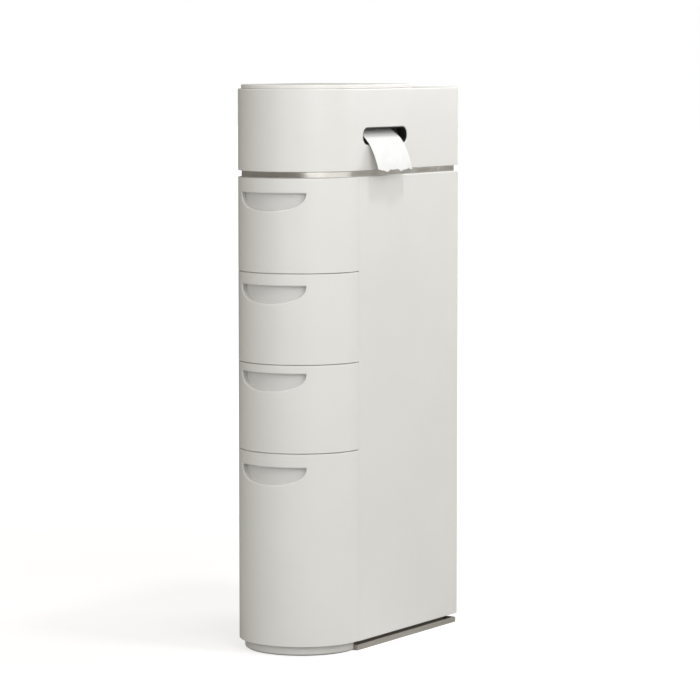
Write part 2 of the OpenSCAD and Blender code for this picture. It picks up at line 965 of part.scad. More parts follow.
base_plinth();
toe_skirt();
base_screws();
side_panel(-1);  // left_side_panel
side_panel(1);  // right_side_panel
back_panel();
back_screws();
base_shelf();
shelf(1);  // shelf_1
shelf(2);  // shelf_2
shelf(3);  // shelf_3
top_deck();
for (n = drawers) {
    rail(n, -1);
    rail(n, 1);
    drawer_front(n);
    finger_cup(n);
    drawer_tray(n);
    glide_shoes(n);
    drawer_screws(n);
}
trim_band();
top_box();
box_screws();
box_partition();
slot_sleeve();
roll_bracket(-1);  // front_roll_bracket
roll_bracket(1);  // rear_roll_bracket
bracket_screws();
roll_spindle();
roll_core();
paper_roll();
loose_paper();
lid();
hinge_pins();
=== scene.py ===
# %% [markdown]
# # A slim bathroom tower with four drawers and a paper box
# The real object is moulded plastic: smooth, warm white, and a little glossy. What makes it look
# real is not a picture on its faces but small true shapes: rounded rims that catch a thin line of
# light, a crescent pressed into each round drawer front, a bright band, and thin paper with a torn
# edge. So the visible pieces are modelled anew with their rims and fillets, and so are the trays and
# the screws, which show when a drawer is open. The other inner pieces keep their construction shape
# and get a finish. The first step loads the construction model.

# %% Load the frame
import json
import math
import bpy
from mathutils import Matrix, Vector


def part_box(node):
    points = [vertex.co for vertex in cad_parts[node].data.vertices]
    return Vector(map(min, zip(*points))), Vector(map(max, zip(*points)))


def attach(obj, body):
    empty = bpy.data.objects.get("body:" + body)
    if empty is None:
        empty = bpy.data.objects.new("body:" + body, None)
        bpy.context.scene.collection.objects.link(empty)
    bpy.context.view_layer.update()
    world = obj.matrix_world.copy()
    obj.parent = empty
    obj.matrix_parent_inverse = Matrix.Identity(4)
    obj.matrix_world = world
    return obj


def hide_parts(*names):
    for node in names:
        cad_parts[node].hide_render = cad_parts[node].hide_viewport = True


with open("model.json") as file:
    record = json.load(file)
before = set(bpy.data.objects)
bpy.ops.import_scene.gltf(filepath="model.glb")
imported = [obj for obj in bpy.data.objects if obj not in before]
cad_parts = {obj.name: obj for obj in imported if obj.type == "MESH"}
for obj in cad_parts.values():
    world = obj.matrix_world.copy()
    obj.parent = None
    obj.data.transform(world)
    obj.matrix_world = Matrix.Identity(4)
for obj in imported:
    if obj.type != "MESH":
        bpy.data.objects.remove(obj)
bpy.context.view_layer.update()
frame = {"nodes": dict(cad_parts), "record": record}
MM = 0.001

# %% [markdown]
# ## Driving sizes
# Every later size comes from the frame or from this short list, so the new pieces land exactly on
# the old ones. The nose is a true half circle as wide as the tower, and its centre lies one half
# width behind the foremost point of the drawer fronts.

# %% Sizes taken from the frame
HALF_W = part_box("right_side_panel")[1].x
BACK_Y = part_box("back_panel")[1].y
BODY_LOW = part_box("right_side_panel")[0].z
NOSE_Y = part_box("drawer_1_front")[0].y + HALF_W
WALL = 3 * MM
QUARTER = HALF_W * math.pi / 2
FRONT_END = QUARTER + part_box("drawer_1_front")[1].y - NOSE_Y
NOSE_STEPS = 96
SAME = 0.02 * MM         # two places nearer than this count as one
DRAWERS = (1, 2, 3, 4)
SIDES = (-1, 1)
print("half width", round(HALF_W, 4), "centre of the nose", round(NOSE_Y, 4))

# %% [markdown]
# ## Modelling by hand, in code
# In a window one clicks faces and edges. A script has no mouse, so it picks them by where they lie:
# each helper below empties the selection, marks what passes a test of its place, and goes back to
# edit mode, where the next operator acts on exactly that. This is slower to type than clicking, but
# it gives the same result on every run.

# %% Picking helpers
def near(value, level):
    """Whether two places count as one."""
    return abs(value - level) < SAME


def use(obj):
    """Makes obj the only selected object and the active one."""
    if bpy.context.object and bpy.context.object.mode != "OBJECT":
        bpy.ops.object.mode_set(mode="OBJECT")
    bpy.ops.object.select_all(action="DESELECT")
    obj.select_set(True)
    bpy.context.view_layer.objects.active = obj


def clear_selection(kind):
    """Empties the selection; kind is VERT, EDGE or FACE, what the next pick is made of."""
    bpy.ops.object.mode_set(mode="EDIT")
    bpy.ops.mesh.select_mode(type=kind)
    bpy.ops.mesh.select_all(action="DESELECT")
    bpy.ops.object.mode_set(mode="OBJECT")


def pick_points(test):
    """Selects the points whose place passes the test, and stays in edit mode."""
    clear_selection("VERT")
    for point in bpy.context.object.data.vertices:
        point.select = bool(test(point.co))
    bpy.ops.object.mode_set(mode="EDIT")


def pick_edges(test):
    """Selects the edges both of whose ends pass the test."""
    clear_selection("EDGE")
    mesh = bpy.context.object.data
    for edge in mesh.edges:
        edge.select = all(test(mesh.vertices[v].co) for v in edge.vertices)
    bpy.ops.object.mode_set(mode="EDIT")


def pick_faces(test):
    """Selects the faces whose centre and normal pass the test."""
    clear_selection("FACE")
    for face in bpy.context.object.data.polygons:
        face.select = bool(test(face.center, face.normal))
    bpy.ops.object.mode_set(mode="EDIT")


def pick_all():
    bpy.ops.object.mode_set(mode="EDIT")
    bpy.ops.mesh.select_all(action="SELECT")


def object_mode():
    bpy.ops.object.mode_set(mode="OBJECT")


def mix(a, b, share):
    """The value at a share of the way from a to b."""
    return a + (b - a) * share


# %% [markdown]
# ## The few operations that every piece needs
# A new primitive is placed by its own location, and that place is then applied, so that the object
# itself stays at the origin and its points say where it is. Modifiers are applied at once, because
# the later picks need their result. Weighted normals keep large flat faces flat beside a rounded
# rim: without them the shading of the rim bleeds far into the flat.

# %% Building helpers
def named(name):
    """Takes the primitive just added, applies its place and gives it a name."""
    bpy.ops.object.transform_apply(location=True, rotation=True, scale=True)
    obj = bpy.context.object
    obj.name = name
    obj.data.name = name
    return obj


def apply_modifier(obj, kind, **settings):
    use(obj)
    modifier = obj.modifiers.new(kind.lower(), kind)
    for key, value in settings.items():
        setattr(modifier, key, value)
    bpy.ops.object.modifier_apply(modifier=modifier.name)


def extrude_faces(y=0.0, z=0.0):
    bpy.ops.mesh.extrude_region_move(TRANSFORM_OT_translate={"value": (0, y, z)})


def extrude_edges(y=0.0, z=0.0):
    bpy.ops.mesh.extrude_edges_move(TRANSFORM_OT_translate={"value": (0, y, z)})


def extrude_points(y=0.0):
    bpy.ops.mesh.extrude_vertices_move(TRANSFORM_OT_translate={"value": (0, y, 0)})


def round_edges(obj, test, radius, segments=4):
    """Bevels the edges both of whose ends pass the test."""
    use(obj)
    pick_edges(test)
    bpy.ops.mesh.bevel(offset=radius, segments=segments, affect="EDGES", clamp_overlap=False)
    object_mode()


def round_sharp_edges(obj, radius, segments=2, over=50):
    apply_modifier(obj, "BEVEL", width=radius, segments=segments, limit_method="ANGLE",
                   angle_limit=math.radians(over), use_clamp_overlap=False)


ALONG_X = (0, math.pi / 2, 0)


def block(name, centre, size, turn=(0, 0, 0)):
    """A box about its centre."""
    bpy.ops.mesh.primitive_cube_add(size=1, location=centre, rotation=turn, scale=size)
    return named(name)


def rod(name, centre, radius, length, sides=24, turn=(0, 0, 0)):
    """A cylinder, which stands upright unless it is turned."""
    bpy.ops.mesh.primitive_cylinder_add(vertices=sides, radius=radius, depth=length, location=centre,
                                        rotation=turn)
    return named(name)


def cut(obj, cutter):
    """Takes the cutter's shape out of obj, and the cutter away."""
    apply_modifier(obj, "BOOLEAN", operation="DIFFERENCE", solver="EXACT", object=cutter)
    bpy.data.objects.remove(cutter)


def join_solid(obj, other):
    """Makes one solid of two that overlap."""
    apply_modifier(obj, "BOOLEAN", operation="UNION", solver="EXACT", object=other)
    bpy.data.objects.remove(other)


def join(obj, *others):
    """Makes one object of several, without cutting them together."""
    use(obj)
    for other in others:
        other.select_set(True)
    bpy.ops.object.join()
    return obj


def face_outwards(obj):
    """Merges points that fell together, and turns every face outwards."""
    use(obj)
    pick_all()
    bpy.ops.mesh.remove_doubles(threshold=SAME / 4)
    bpy.ops.mesh.normals_make_consistent(inside=False)
    object_mode()


def smooth(obj, under=32):
    """Smooth shading under the given angle, with the large faces kept flat."""
    use(obj)
    bpy.ops.object.shade_smooth_by_angle(angle=math.radians(under))
    apply_modifier(obj, "WEIGHTED_NORMAL", keep_sharp=True)


def settle(obj, body, slot, node):
    """The last step of a piece: its finish, the body it rides and the node it stands for."""
    obj.data.materials.clear()
    obj.data.materials.append(finishes[slot])
    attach(obj, body)
    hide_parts(node)
    print(obj.name, len(obj.data.polygons), "faces")


# %% [markdown]
# ## A finish starts as a shader with coordinates
# All finishes read Object coordinates in metres. The pieces sit at the origin, so a pattern has the
# same scale on every piece and doesn't move when a drawer opens. The first helpers add a node and
# feed it. The next ones add a noise field, spread a field over a narrow range, mix two colours by a
# field, and press a field into the surface as a bump.

# %% Finish helpers
def feed(tree, node, inputs):
    """Each input is a plain value, which is written on the socket, or the output of a node."""
    for name, value in inputs.items():
        if isinstance(value, bpy.types.NodeSocket):
            tree.links.new(value, node.inputs[name])
        else:
            node.inputs[name].default_value = value


def add_node(tree, kind, inputs, **settings):
    """Adds a shader node of the given kind, sets its menus and feeds its inputs."""
    node = tree.nodes.new("ShaderNode" + kind)
    for key, value in settings.items():
        setattr(node, key, value)
    feed(tree, node, inputs)
    return node


finishes = {}


def start_material(name):
    """A new finish, kept in the list of finishes under its name."""
    material = bpy.data.materials.new(name)
    finishes[name] = material
    material.use_nodes = True
    tree = material.node_tree
    shader = tree.nodes["Principled BSDF"]
    place = tree.nodes.new("ShaderNodeTexCoord").outputs["Object"]
    return tree, shader, place


def noise(tree, place, size, detail=2.0, stretch=(1, 1, 1)):
    """A noise field whose features are about size metres across."""
    scaled = add_node(tree, "Mapping", {"Vector": place, "Scale": stretch}).outputs["Vector"]
    field = add_node(tree, "TexNoise", {"Vector": scaled, "Scale": 1 / size, "Detail": detail})
    return field.outputs["Fac"]


def spread_to(tree, field, low, high):
    """The field, which mostly lies between 0.3 and 0.7, spread from low to high."""
    inputs = {"Value": field, "From Min": 0.3, "From Max": 0.7, "To Min": low, "To Max": high}
    return add_node(tree, "MapRange", inputs).outputs["Result"]


def colour_mix(tree, share, first, second):
    """Two colours mixed by a share from 0 to 1."""
    inputs = {"A": (*first, 1), "B": (*second, 1), "Factor": share}
    return add_node(tree, "Mix", inputs, data_type="RGBA").outputs["Result"]


def colour_between(tree, field, first, second):
    """Two colours mixed by a noise field."""
    return colour_mix(tree, spread_to(tree, field, 0, 1), first, second)


def bump(tree, field, depth, strength, under=None):
    """Presses a field into the surface; depth is in metres. under is a bump laid below it."""
    inputs = {"Distance": depth, "Strength": strength, "Height": field}
    if under is not None:
        inputs["Normal"] = under
    return add_node(tree, "Bump", inputs).outputs["Normal"]


def shade_of(colour, share):
    return tuple(value * share for value in colour)


# %% [markdown]
# ## Moulded plastic
# Moulded plastic is never quite even. Its tint drifts by up to three percent over a hand's width, its
# gloss changes where the tool was polished, the face has a faint slow wave from cooling, and close
# up it has a fine grain. One function makes all the plastics, and each gets its own colour, gloss
# and depth of grain.

# %% Moulded plastic
def moulded_plastic(name, colour, roughness, grain=0.3, wave=0.3, drift=0.97):
    tree, shader, place = start_material(name)
    tint = noise(tree, place, 130 * MM, 3)
    polish = noise(tree, place, 24 * MM, 4)
    slow = noise(tree, place, 70 * MM, 1, (1, 1, 0.35))
    fine = noise(tree, place, 2.5 * MM, 0)
    waves = bump(tree, slow, 1.2 * MM, wave)
    feed(tree, shader, {
        "Base Color": colour_between(tree, tint, shade_of(colour, drift), colour),
        "Roughness": spread_to(tree, polish, roughness * 0.88, roughness * 1.12),
        "Normal": bump(tree, fine, 0.02 * MM, grain, waves),
        "IOR": 1.49,
    })


moulded_plastic("gloss_white", (0.83, 0.815, 0.785), 0.32, grain=0.02, wave=0.06)
moulded_plastic("satin_white", (0.80, 0.785, 0.755), 0.45, grain=0.5)
# recess_grey is the white plastic made darker, as painted shade inside the finger recesses
moulded_plastic("recess_grey", (0.74, 0.73, 0.71), 0.42, grain=0.9)
# plinth_grey is a grey plastic made darker still, as painted shade in the gap under the body
moulded_plastic("plinth_grey", (0.35, 0.325, 0.29), 0.5, grain=0.6)
moulded_plastic("rail_grey", (0.72, 0.71, 0.69), 0.40, grain=0.3)
# sleeve_black is near black, as painted shade for the inside of the paper slot
moulded_plastic("sleeve_black", (0.008, 0.008, 0.008), 0.55, grain=0.4)
print("plastics", list(finishes))

# %% [markdown]
# ## Bright band and screws
# The band is plating over plastic, so it is a metal with an even, satin mirror and faint ripples.
# Screws are zinc-plated steel, duller and with a fine grain. Both are metals, whose colour is the
# colour of their reflection.

# %% Metals
def metal(name, colour, roughness, ripple_size, ripple_depth):
    tree, shader, place = start_material(name)
    dust = noise(tree, place, 15 * MM, 4)
    ripple = noise(tree, place, ripple_size, 2, (1, 1, 3))
    feed(tree, shader, {
        "Metallic": 1.0,
        "Base Color": colour_between(tree, dust, shade_of(colour, 0.94), colour),
        "Roughness": spread_to(tree, dust, roughness * 0.8, roughness * 1.25),
        "Normal": bump(tree, ripple, ripple_depth, 0.4),
    })


metal("bright_trim", (0.84, 0.835, 0.82), 0.21, 30 * MM, 0.15 * MM)
metal("screw_steel", (0.62, 0.62, 0.62), 0.36, 0.4 * MM, 0.02 * MM)
print("metals", list(finishes)[-2:])

# %% [markdown]
# ## Tissue and card
# Tissue is a soft mat of fibres: matt, with fine crinkles, closer together along the roll than round
# it, and a faint fibre grain. Card is brown, with long streaks along the tube.

# %% Tissue and card
def tissue_paper():
    tree, shader, place = start_material("tissue")
    fibre = noise(tree, place, 0.6 * MM, 4)
    crinkle = noise(tree, place, 7 * MM, 3, (0.6, 1, 0.6))
    soft = bump(tree, crinkle, 0.5 * MM, 0.35)
    feed(tree, shader, {
        "Base Color": colour_between(tree, crinkle, (0.80, 0.80, 0.79), (0.85, 0.85, 0.84)),
        "Roughness": spread_to(tree, fibre, 0.85, 1.0),
        "Normal": bump(tree, fibre, 0.05 * MM, 0.5, soft),
        "Specular IOR Level": 0.2,
    })


def card_board():
    tree, shader, place = start_material("card")
    streak = noise(tree, place, 3 * MM, 5, (1, 0.15, 1))
    feed(tree, shader, {
        "Base Color": colour_between(tree, streak, (0.40, 0.29, 0.19), (0.52, 0.40, 0.28)),
        "Roughness": spread_to(tree, streak, 0.75, 0.95),
        "Normal": bump(tree, streak, 0.05 * MM, 0.5),
    })


tissue_paper()
card_board()
print("paper and card", list(finishes)[-2:])

# %% [markdown]
# ## Finishing the construction pieces
# The record says which finish each node has. Giving the finish by name from that list covers every
# inner piece at once, such as rails, shelves and brackets, whose construction shape is kept.

# %% Finish on every construction node
for row in frame["record"]["subparts"]:
    mesh = frame["nodes"][row["node"]].data
    mesh.materials.clear()
    mesh.materials.append(finishes[row["material_slot"]])

# %% [markdown]
# ## The nose, flat first and wrapped after
# A crescent cut into a round wall is awkward to model in place, because its rim bends in two ways.
# Like a label, the wall can be laid out flat, where "along" is the distance round the nose and
# depth runs into the wall, and cut and rounded there. Wrapping then bends it round the nose. Near
# the middle the wrap keeps the side-to-side place of a point whatever its depth, because the real
# recess is pressed in straight from the front, as a mould has to open.

# %% Wrapping a flat piece round the nose
STRAIGHT_TURN = math.radians(40)


def wrapped(point):
    """Where a point of the flat piece comes to lie on the nose."""
    along, depth, z = point
    radius = HALF_W - depth
    side = math.copysign(1, along)
    if abs(along) >= QUARTER:
        return Vector((side * radius, NOSE_Y + abs(along) - QUARTER, z))
    turn = abs(along) / HALF_W
    inner = math.asin(HALF_W * math.sin(min(turn, STRAIGHT_TURN)) / radius)
    if turn > STRAIGHT_TURN:
        inner = mix(inner, math.pi / 2, (turn - STRAIGHT_TURN) / (math.pi / 2 - STRAIGHT_TURN))
    return Vector((side * radius * math.sin(inner), NOSE_Y - radius * math.cos(inner), z))


def wrap(obj):
    for point in obj.data.vertices:
        point.co = wrapped(point.co)


print("foremost point", [round(v, 4) for v in wrapped((0, 0, 0))])

# %% [markdown]
# ## The crescent
# The recess is flat on top and half a superellipse below, which is fuller than an ellipse. A grid
# of cells can carry it if the cells beside it end on its rim: its left and right edges take the
# steep part of the curve, and its lower edge takes the shallow part, so no cell gets thin. The same
# grid without the hole gives the drawer front, and the cells of the hole alone give the cup.

# %% The crescent's rim and the grid round it
CUP_WALL = 1.5 * MM
RECESS_ROUND = 2.6 * MM
FULLNESS = 2.3
BESIDE_COLS, ACROSS_COLS = 34, 48
BELOW_ROWS, BESIDE_ROWS, ABOVE_ROWS = 4, 12, 2


def recess_sizes(n):
    """Half length, top and height of the recess in drawer n, from the cup of the frame."""
    low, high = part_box(f"drawer_{n}_finger_cup")
    half_l = HALF_W * math.asin((high.x - CUP_WALL) / HALF_W)
    return half_l, high.z - CUP_WALL, high.z - low.z - 2 * CUP_WALL


RECESS = {n: recess_sizes(n) for n in DRAWERS}
FRONT_Z = {n: [corner.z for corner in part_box(f"drawer_{n}_front")] for n in DRAWERS}


def bow(value):
    """Bends a sine or cosine, so that the curve gets fuller than an ellipse."""
    return math.copysign(abs(value) ** (2 / FULLNESS), value)


def crescent(n, inset):
    """Half length, top and height of the crescent drawn smaller by inset on every side."""
    half_l, top, height = RECESS[n]
    return half_l - inset, top - inset, height - 2 * inset


def rim_point(n, turn, inset):
    """A point on the curved rim: turn runs from 0 at the left end to pi at the right end."""
    half_l, top, height = crescent(n, inset)
    return -half_l * bow(math.cos(turn)), top - height * bow(math.sin(turn))


def recess_point(n, across, up, inset):
    """A point in the recess, blended from its four edges; both shares run from 0 to 1."""
    half_l, top, _ = crescent(n, inset)
    corner_x, corner_z = rim_point(n, math.pi / 4, inset)
    side_x, side_z = rim_point(n, math.pi / 4 * (1 - up), inset)
    low_x, low_z = rim_point(n, mix(math.pi / 4, math.pi * 3 / 4, across), inset)
    x = mix(low_x, mix(-half_l, half_l, across), up)
    middle_x = mix(mix(corner_x, -corner_x, across), mix(-half_l, half_l, across), up)
    x += mix(side_x, -side_x, across) - middle_x
    z = mix(low_z, top, up) + side_z - mix(corner_z, top, up)
    return x, z


def front_point(n, col, row):
    """Where the grid point of a drawer front lies, in the flat."""
    low, high = FRONT_Z[n]
    up = min(max((row - BELOW_ROWS) / BESIDE_ROWS, 0), 1)
    below = min(row / BELOW_ROWS, 1)
    above = max((row - BELOW_ROWS - BESIDE_ROWS) / ABOVE_ROWS, 0)
    across = min(max((col - BESIDE_COLS) / ACROSS_COLS, 0), 1)
    x, z = recess_point(n, across, up, -RECESS_ROUND)
    z = mix(mix(low, z, below), high, above)
    if col < BESIDE_COLS:
        x = mix(-FRONT_END, x, col / BESIDE_COLS)
    if col > BESIDE_COLS + ACROSS_COLS:
        x = mix(x, FRONT_END, (col - BESIDE_COLS - ACROSS_COLS) / BESIDE_COLS)
    return x, 0, z


def laid_grid(name, cols, rows, place):
    """A grid whose point in column i and row j lies at place(i, j)."""
    bpy.ops.mesh.primitive_grid_add(x_subdivisions=cols, y_subdivisions=rows, size=2)
    obj = named(name)
    for point in obj.data.vertices:
        col = round((point.co.x + 1) / 2 * cols)
        row = round((point.co.y + 1) / 2 * rows)
        point.co = place(col, row)
    return obj


for n in DRAWERS:
    print("recess", n, "half length, top, height", [round(v, 4) for v in RECESS[n]])

# %% [markdown]
# ## Drawer fronts
# A front is one moulded shell. Laid flat it is a sheet with a hole, and extruding the whole sheet
# gives it its thickness. The rim of the crescent has a soft round that catches the light. A bevel
# would pull at the thin cells about the hole, so the round is made in steps instead: the hole is
# cut a little large, and its border is extruded inwards in short steps, each scaled a bit smaller,
# so that they lie on a quarter round. The seams between drawers get a small bevel. Behind the wall
# stand a ledge under the tray and four bosses for its screws.

# %% Drawer fronts
SEAM_ROUND = 0.7 * MM
LEDGE_W, LEDGE_T = 17 * MM, 2 * MM
FLANGE_T = 2.5 * MM
BOSS_R, BOSS_H, BOSS_RING = 3.4 * MM, 16 * MM, 93 * MM
BOSS_TURNS = [math.radians(turn) for turn in (-80, -60, 60, 80)]
BOSS_RIB = 2 * MM
ROUND_STEPS = 5
SMALL_ROUND = 0.4 * MM
ON_CURVE = 1e-3


def on_rim(n, point, inset):
    """Whether a point lies on the rim of the crescent inset by the given amount."""
    half_l, top, height = crescent(n, inset)
    down = top - point.z
    if near(down, 0):
        return abs(point.x) < half_l + SAME
    if down < 0 or down > height + SAME:
        return False
    reach = (abs(point.x) / half_l) ** FULLNESS + (down / height) ** FULLNESS
    return abs(reach - 1) < ON_CURVE


def scale_rim(n, before, after):
    """Scales the picked border from the crescent inset by before to the one inset by after."""
    first_l, first_top, first_h = crescent(n, before)
    last_l, _, last_h = crescent(n, after)
    middle = (0, 0, first_top - first_h / 2)
    scale = (last_l / first_l, 1, last_h / first_h)
    bpy.ops.transform.resize(value=scale, center_override=middle)


def extrude_quarter_round(n, start_inset, direction):
    """Extrudes the picked border over a quarter round, from start_inset to the true crescent."""
    for step in range(ROUND_STEPS):
        turns = [math.pi / 2 * (step + more) / ROUND_STEPS for more in (0, 1)]
        insets = [start_inset * (1 - math.sin(turn)) for turn in turns]
        run = direction * abs(start_inset) * (math.cos(turns[0]) - math.cos(turns[1]))
        extrude_edges(y=run)
        scale_rim(n, *insets)


def add_ledge(n):
    """The ledge that the tray stands on, a flat strip laid along the inside of the wall."""
    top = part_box(f"drawer_{n}_tray")[0].z
    cols = BESIDE_COLS * 3

    def strip_point(i, j):
        return mix(-FRONT_END, FRONT_END, i / cols), mix(WALL - MM, WALL + LEDGE_W, j), top - LEDGE_T

    ledge = laid_grid("ledge", cols, 1, strip_point)
    pick_all()
    extrude_faces(z=LEDGE_T)
    object_mode()
    wrap(ledge)
    return ledge


def on_boss_ring(turn, z):
    """The middle of a boss and the direction in which it faces outwards."""
    out = Vector((math.sin(turn), -math.cos(turn), 0))
    return Vector((0, NOSE_Y, z)) + out * BOSS_RING, out


def add_boss(n, turn):
    """A screw boss with a rib that joins it to the wall."""
    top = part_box(f"drawer_{n}_tray")[1].z - FLANGE_T
    centre, out = on_boss_ring(turn, top - BOSS_H / 2)
    boss = rod("boss", centre, BOSS_R, BOSS_H)
    round_sharp_edges(boss, SMALL_ROUND)
    rib_l = HALF_W - BOSS_RING - MM
    rib = block("rib", centre + out * rib_l / 2, (BOSS_RIB, rib_l, BOSS_H), (0, 0, turn))
    return join(boss, rib)


def drawer_front(n):
    cols = 2 * BESIDE_COLS + ACROSS_COLS
    rows = BELOW_ROWS + BESIDE_ROWS + ABOVE_ROWS
    front = laid_grid(f"front_shell_{n}", cols, rows, lambda i, j: front_point(n, i, j))
    low, high = FRONT_Z[n]
    half_l, top, height = crescent(n, -RECESS_ROUND)

    def in_hole(centre, _):
        down = (top - centre.z) / height
        return down > 0 and (abs(centre.x) / half_l) ** FULLNESS + down ** FULLNESS < 1

    def hole_wall(centre, _):
        inside = abs(centre.x) < FRONT_END - MM and low + MM < centre.z < high - MM
        return inside and SAME < centre.y < WALL - SAME

    def on_border(point):
        return near(abs(point.x), FRONT_END) or near(point.z, low) or near(point.z, high)

    use(front)
    pick_faces(in_hole)
    bpy.ops.mesh.delete(type="FACE")
    pick_all()
    extrude_faces(y=WALL)
    pick_faces(hole_wall)
    bpy.ops.mesh.delete(type="ONLY_FACE")
    pick_edges(lambda p: near(p.y, WALL) and on_rim(n, p, -RECESS_ROUND))
    scale_rim(n, -RECESS_ROUND, 0)
    pick_edges(lambda p: near(p.y, 0) and on_rim(n, p, -RECESS_ROUND))
    extrude_quarter_round(n, -RECESS_ROUND, 1)
    extrude_edges(y=WALL - RECESS_ROUND)
    pick_all()
    bpy.ops.mesh.delete_loose()
    bpy.ops.mesh.remove_doubles(threshold=SAME)
    round_edges(front, on_border, SEAM_ROUND, 3)
    wrap(front)
    face_outwards(front)
    join(front, add_ledge(n), *[add_boss(n, turn) for turn in BOSS_TURNS])
    smooth(front)
    settle(front, f"drawer_{n}", "gloss_white", f"drawer_{n}_front")


for n in DRAWERS:
    drawer_front(n)

# %% [markdown]
# ## Finger cups
# Behind each crescent a cup closes the recess. Its floor follows the nose and its walls run
# straight out to the front, and they meet in a fillet, which is what shades the recess softly at
# its lower edge. The floor is the grid of the crescent, drawn a little smaller. Its border is
# extruded towards the front in short steps, and after each step it is scaled out, so that the
# steps lie on a quarter round. One long step then makes the straight wall. The shell is thickened
# outwards and wrapped with the same rule as the front.

# %% Finger cups
CUP_FILLET = 1.0 * MM
CUP_DEPTH = 10.5 * MM
CUP_MOUTH = WALL + 0.05 * MM


def finger_cup(n):
    def floor_point(i, j):
        x, z = recess_point(n, i / ACROSS_COLS, j / BESIDE_ROWS, CUP_FILLET)
        return x, CUP_DEPTH, z

    cup = laid_grid(f"cup_shell_{n}", ACROSS_COLS, BESIDE_ROWS, floor_point)
    pick_edges(lambda p: on_rim(n, p, CUP_FILLET))
    extrude_quarter_round(n, CUP_FILLET, -1)
    extrude_edges(y=CUP_MOUTH - CUP_DEPTH + CUP_FILLET)
    pick_all()
    bpy.ops.mesh.normals_make_consistent(inside=False)
    object_mode()
    floor = min(cup.data.polygons, key=lambda f: abs(f.center.x) + abs(f.center.y - CUP_DEPTH))
    outwards = 1 if floor.normal.y > 0 else -1
    apply_modifier(cup, "SOLIDIFY", thickness=CUP_WALL, offset=outwards, use_even_offset=True)
    wrap(cup)
    face_outwards(cup)
    smooth(cup, 40)
    # the cup's darker finish is painted shade in the recess
    settle(cup, f"drawer_{n}", "recess_grey", f"drawer_{n}_finger_cup")


for n in DRAWERS:
    finger_cup(n)

# %% [markdown]
# ## The nosed outline
# The box, the lid, the band, the toe skirt, the trays and part of the plinth share one outline: a
# half circle in front and straight sides behind. Half a circle primitive is kept, its two ends are
# extruded back, and the loop is closed. Filled and drawn up, it is a solid. Drawn up unfilled and
# given a thickness, it is a thin wall.

# %% Outline helpers
def nosed_loop(name, radius, z, back, close=True):
    """An outline seen from above, as edges only."""
    bpy.ops.mesh.primitive_circle_add(vertices=2 * NOSE_STEPS, radius=radius, location=(0, NOSE_Y, z))
    obj = named(name)
    pick_points(lambda p: p.y > NOSE_Y + SAME)
    bpy.ops.mesh.delete(type="VERT")
    pick_points(lambda p: near(p.y, NOSE_Y))
    extrude_points(back - NOSE_Y)
    if close:
        bpy.ops.mesh.edge_face_add()
    object_mode()
    return obj


def fill(outline):
    """Makes one face of a closed outline."""
    use(outline)
    pick_all()
    bpy.ops.mesh.edge_face_add()


def raise_solid(filled, height):
    """Draws a filled outline up as a solid."""
    use(filled)
    pick_all()
    extrude_faces(z=height)
    object_mode()
    face_outwards(filled)
    return filled


def raise_wall(outline, height, wall):
    """Draws an outline up as a thin wall, wall thick on its inner side."""
    use(outline)
    pick_all()
    extrude_edges(z=height)
    pick_all()
    bpy.ops.mesh.normals_make_consistent(inside=False)
    object_mode()
    nose = min(outline.data.polygons, key=lambda f: f.center.y)
    inwards = -1 if nose.normal.y < 0 else 1
    apply_modifier(outline, "SOLIDIFY", thickness=wall, offset=inwards, use_even_offset=True)
    face_outwards(outline)
    return outline


def nosed_solid(name, radius, low, high, back, corner=0.0):
    """The outline filled and drawn up from low to high, with rounded rear corners."""
    obj = nosed_loop(name, radius, low, back)
    fill(obj)
    if corner:
        pick_points(lambda p: near(p.y, back))
        bpy.ops.mesh.bevel(offset=corner, segments=6, affect="VERTICES")
    return raise_solid(obj, high - low)


def nosed_ring(name, radius, low, high, back, wall, close=True):
    """The outline drawn up from low to high as a thin wall, which may stay open at the back."""
    return raise_wall(nosed_loop(name, radius, low, back, close), high - low, wall)


def nose_distance(point):
    """How far a point is from the nose's axis, or behind it from the middle of the tower."""
    return math.hypot(point.x, min(point.y - NOSE_Y, 0))


# %% [markdown]
# ## The top box
# The box is a hollow block. Its upper rim has the widest round on the whole tower and shows as a
# bright line under the lid. The solid is rounded first, while its edges are clean, and the hollow,
# the mouth and the paper slot are then cut out of it with three simple bodies. Two lugs for the
# hinge pins stand at the rear of the mouth.

# %% Top box
BOX_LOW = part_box("top_box")[0].z
LIP_DROP = 3.5 * MM
LID_GAP = 0.5 * MM
BOX_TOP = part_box("lid")[0].z + LIP_DROP
PIN_LOW, PIN_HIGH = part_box("hinge_pins")
HINGE_Y = (PIN_LOW.y + PIN_HIGH.y) / 2
HINGE_Z = (PIN_LOW.z + PIN_HIGH.z) / 2
LUG_X, LUG_W = 60 * MM, 14 * MM
MOUTH_RIM = 12 * MM
MOUTH_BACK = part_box("box_partition")[0].y
SLEEVE_LOW, SLEEVE_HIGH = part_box("slot_sleeve")
SLOT_Y = (SLEEVE_LOW.y + SLEEVE_HIGH.y) / 2
SLOT_Z = (SLEEVE_LOW.z + SLEEVE_HIGH.z) / 2
SLOT_L, SLOT_H = 133.5 * MM, 27 * MM
REAR_CORNER = 4 * MM
BOX_RIM_ROUND, BOX_FOOT_ROUND = 2.2 * MM, 0.8 * MM
MOUTH_ROUND, SLOT_ROUND = 0.8 * MM, 1.2 * MM


def slot_cutter(from_x, to_x):
    """A bar with fully round ends along Y, drawn out along X."""
    middle = (from_x + to_x) / 2
    bar = block("slot", (middle, SLOT_Y, SLOT_Z), (to_x - from_x, SLOT_L, SLOT_H))
    clear_selection("EDGE")
    for edge in bar.data.edges:
        first, last = [bar.data.vertices[v].co.x - middle for v in edge.vertices]
        edge.select = first * last < 0
    bpy.ops.object.mode_set(mode="EDIT")
    bpy.ops.mesh.bevel(offset=SLOT_H / 2 - SAME / 4, segments=16, affect="EDGES")
    object_mode()
    face_outwards(bar)
    return bar


